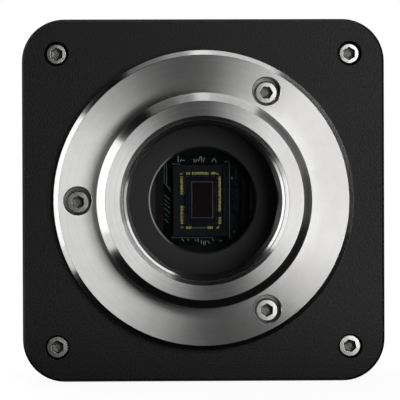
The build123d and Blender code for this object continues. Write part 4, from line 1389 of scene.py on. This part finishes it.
# Copper tracks beside the sensor, in the same way
TRACKS = (
    (-6.18, 6.3, -6.18, 3.0), (-5.78, 6.3, -5.78, 2.5), (-6.18, 3.0, -5.1, 1.92), (-5.78, 2.5, -5.1, 1.6),
    (-6.2, 1.0, -5.2, 0.1), (-6.2, 0.2, -5.4, -0.6), (-6.2, -0.5, -5.2, -1.3), (-6.2, -1.2, -5.2, -2.2),
    (-6.1, -2.2, -5.5, -2.8), (-6.1, -3.2, -5.5, -3.8), (6.87, 4.7, 6.87, -3.6),
)


# The grained finishes of the nodes inside and at the back: a finish and its nodes
INSIDE_FINISHES = (
    ("chip_plastic", "image_processor", "memory_chip"),
    ("connector_plastic", "board_connector_plug", "board_connector_socket"),
    ("capacitor", "sensor_board_capacitors", "main_board_capacitors"),
    ("can_metal", "crystal_oscillator"),
    ("ferrite", "power_inductor"),
    ("brass", "board_standoffs"),
)
BACK_FINISHES = (
    ("tin_shell", "usb_socket_shell"),
    ("socket_plastic", "usb_socket_insulator"),
    ("gold", "usb_contacts"),
    ("lamp_resin", "status_led"),
)


class DressInside(bpy.types.Operator):
    """Gives the seal, the chips, the connectors and the spacers their finishes"""

    bl_idname = "microscope_camera.dress_inside"
    bl_label = "Inside"

    def execute(self, context):
        colours = context.scene.camera_colours
        dress_nodes(rubber(colours), "dust_seal")
        dress_table(INSIDE_FINISHES, colours)
        return {"FINISHED"}


class DressBack(bpy.types.Operator):
    """Gives the data socket and the status lamp in the back their finishes"""

    bl_idname = "microscope_camera.dress_back"
    bl_label = "Socket and lamp"

    def execute(self, context):
        colours = context.scene.camera_colours
        dress_table(BACK_FINISHES, colours)
        dress_nodes(clear_plastic(colours), "light_pipe")
        return {"FINISHED"}


class CameraPanel(bpy.types.Panel):
    """Lists the steps and the sizes and colours that they use"""

    bl_idname = "VIEW3D_PT_microscope_camera"
    bl_label = "Microscope camera"
    bl_space_type = "VIEW_3D"
    bl_region_type = "UI"
    bl_category = "Microscope camera"

    def draw(self, context):
        for step in STEPS:
            self.layout.operator(step.bl_idname)
        for name, group in GROUPS:
            box = self.layout.box()
            box.label(text=group.__doc__.rstrip("."))
            for field in group.__annotations__:
                box.prop(getattr(context.scene, name), field)


GROUPS = (
    ("camera_mount", MountSizes), ("camera_screws", ScrewSizes), ("camera_sensor", SensorSizes),
    ("camera_board", BoardSizes), ("camera_colours", FinishColours), ("camera_stage", StageSettings),
)
STEPS = (
    BuildStage, DressBody, BuildMountRing, BuildScrews, DressGlass, BuildSensor, BuildBoardMarks, DressInside,
    DressBack,
)


def register():
    """Registers the settings, the steps and the panel."""
    for name, group in GROUPS:
        bpy.utils.register_class(group)
        setattr(bpy.types.Scene, name, PointerProperty(type=group))
    for cls in STEPS + (CameraPanel,):
        bpy.utils.register_class(cls)


def unregister():
    """Takes the panel, the steps and the settings away again."""
    for cls in reversed(STEPS + (CameraPanel,)):
        bpy.utils.unregister_class(cls)
    for name, group in reversed(GROUPS):
        delattr(bpy.types.Scene, name)
        bpy.utils.unregister_class(group)


def main():
    """Runs every step in order."""
    register()
    for step in STEPS:
        family, name = step.bl_idname.split(".")
        getattr(getattr(bpy.ops, family), name)()


if __name__ == "__main__":
    main()
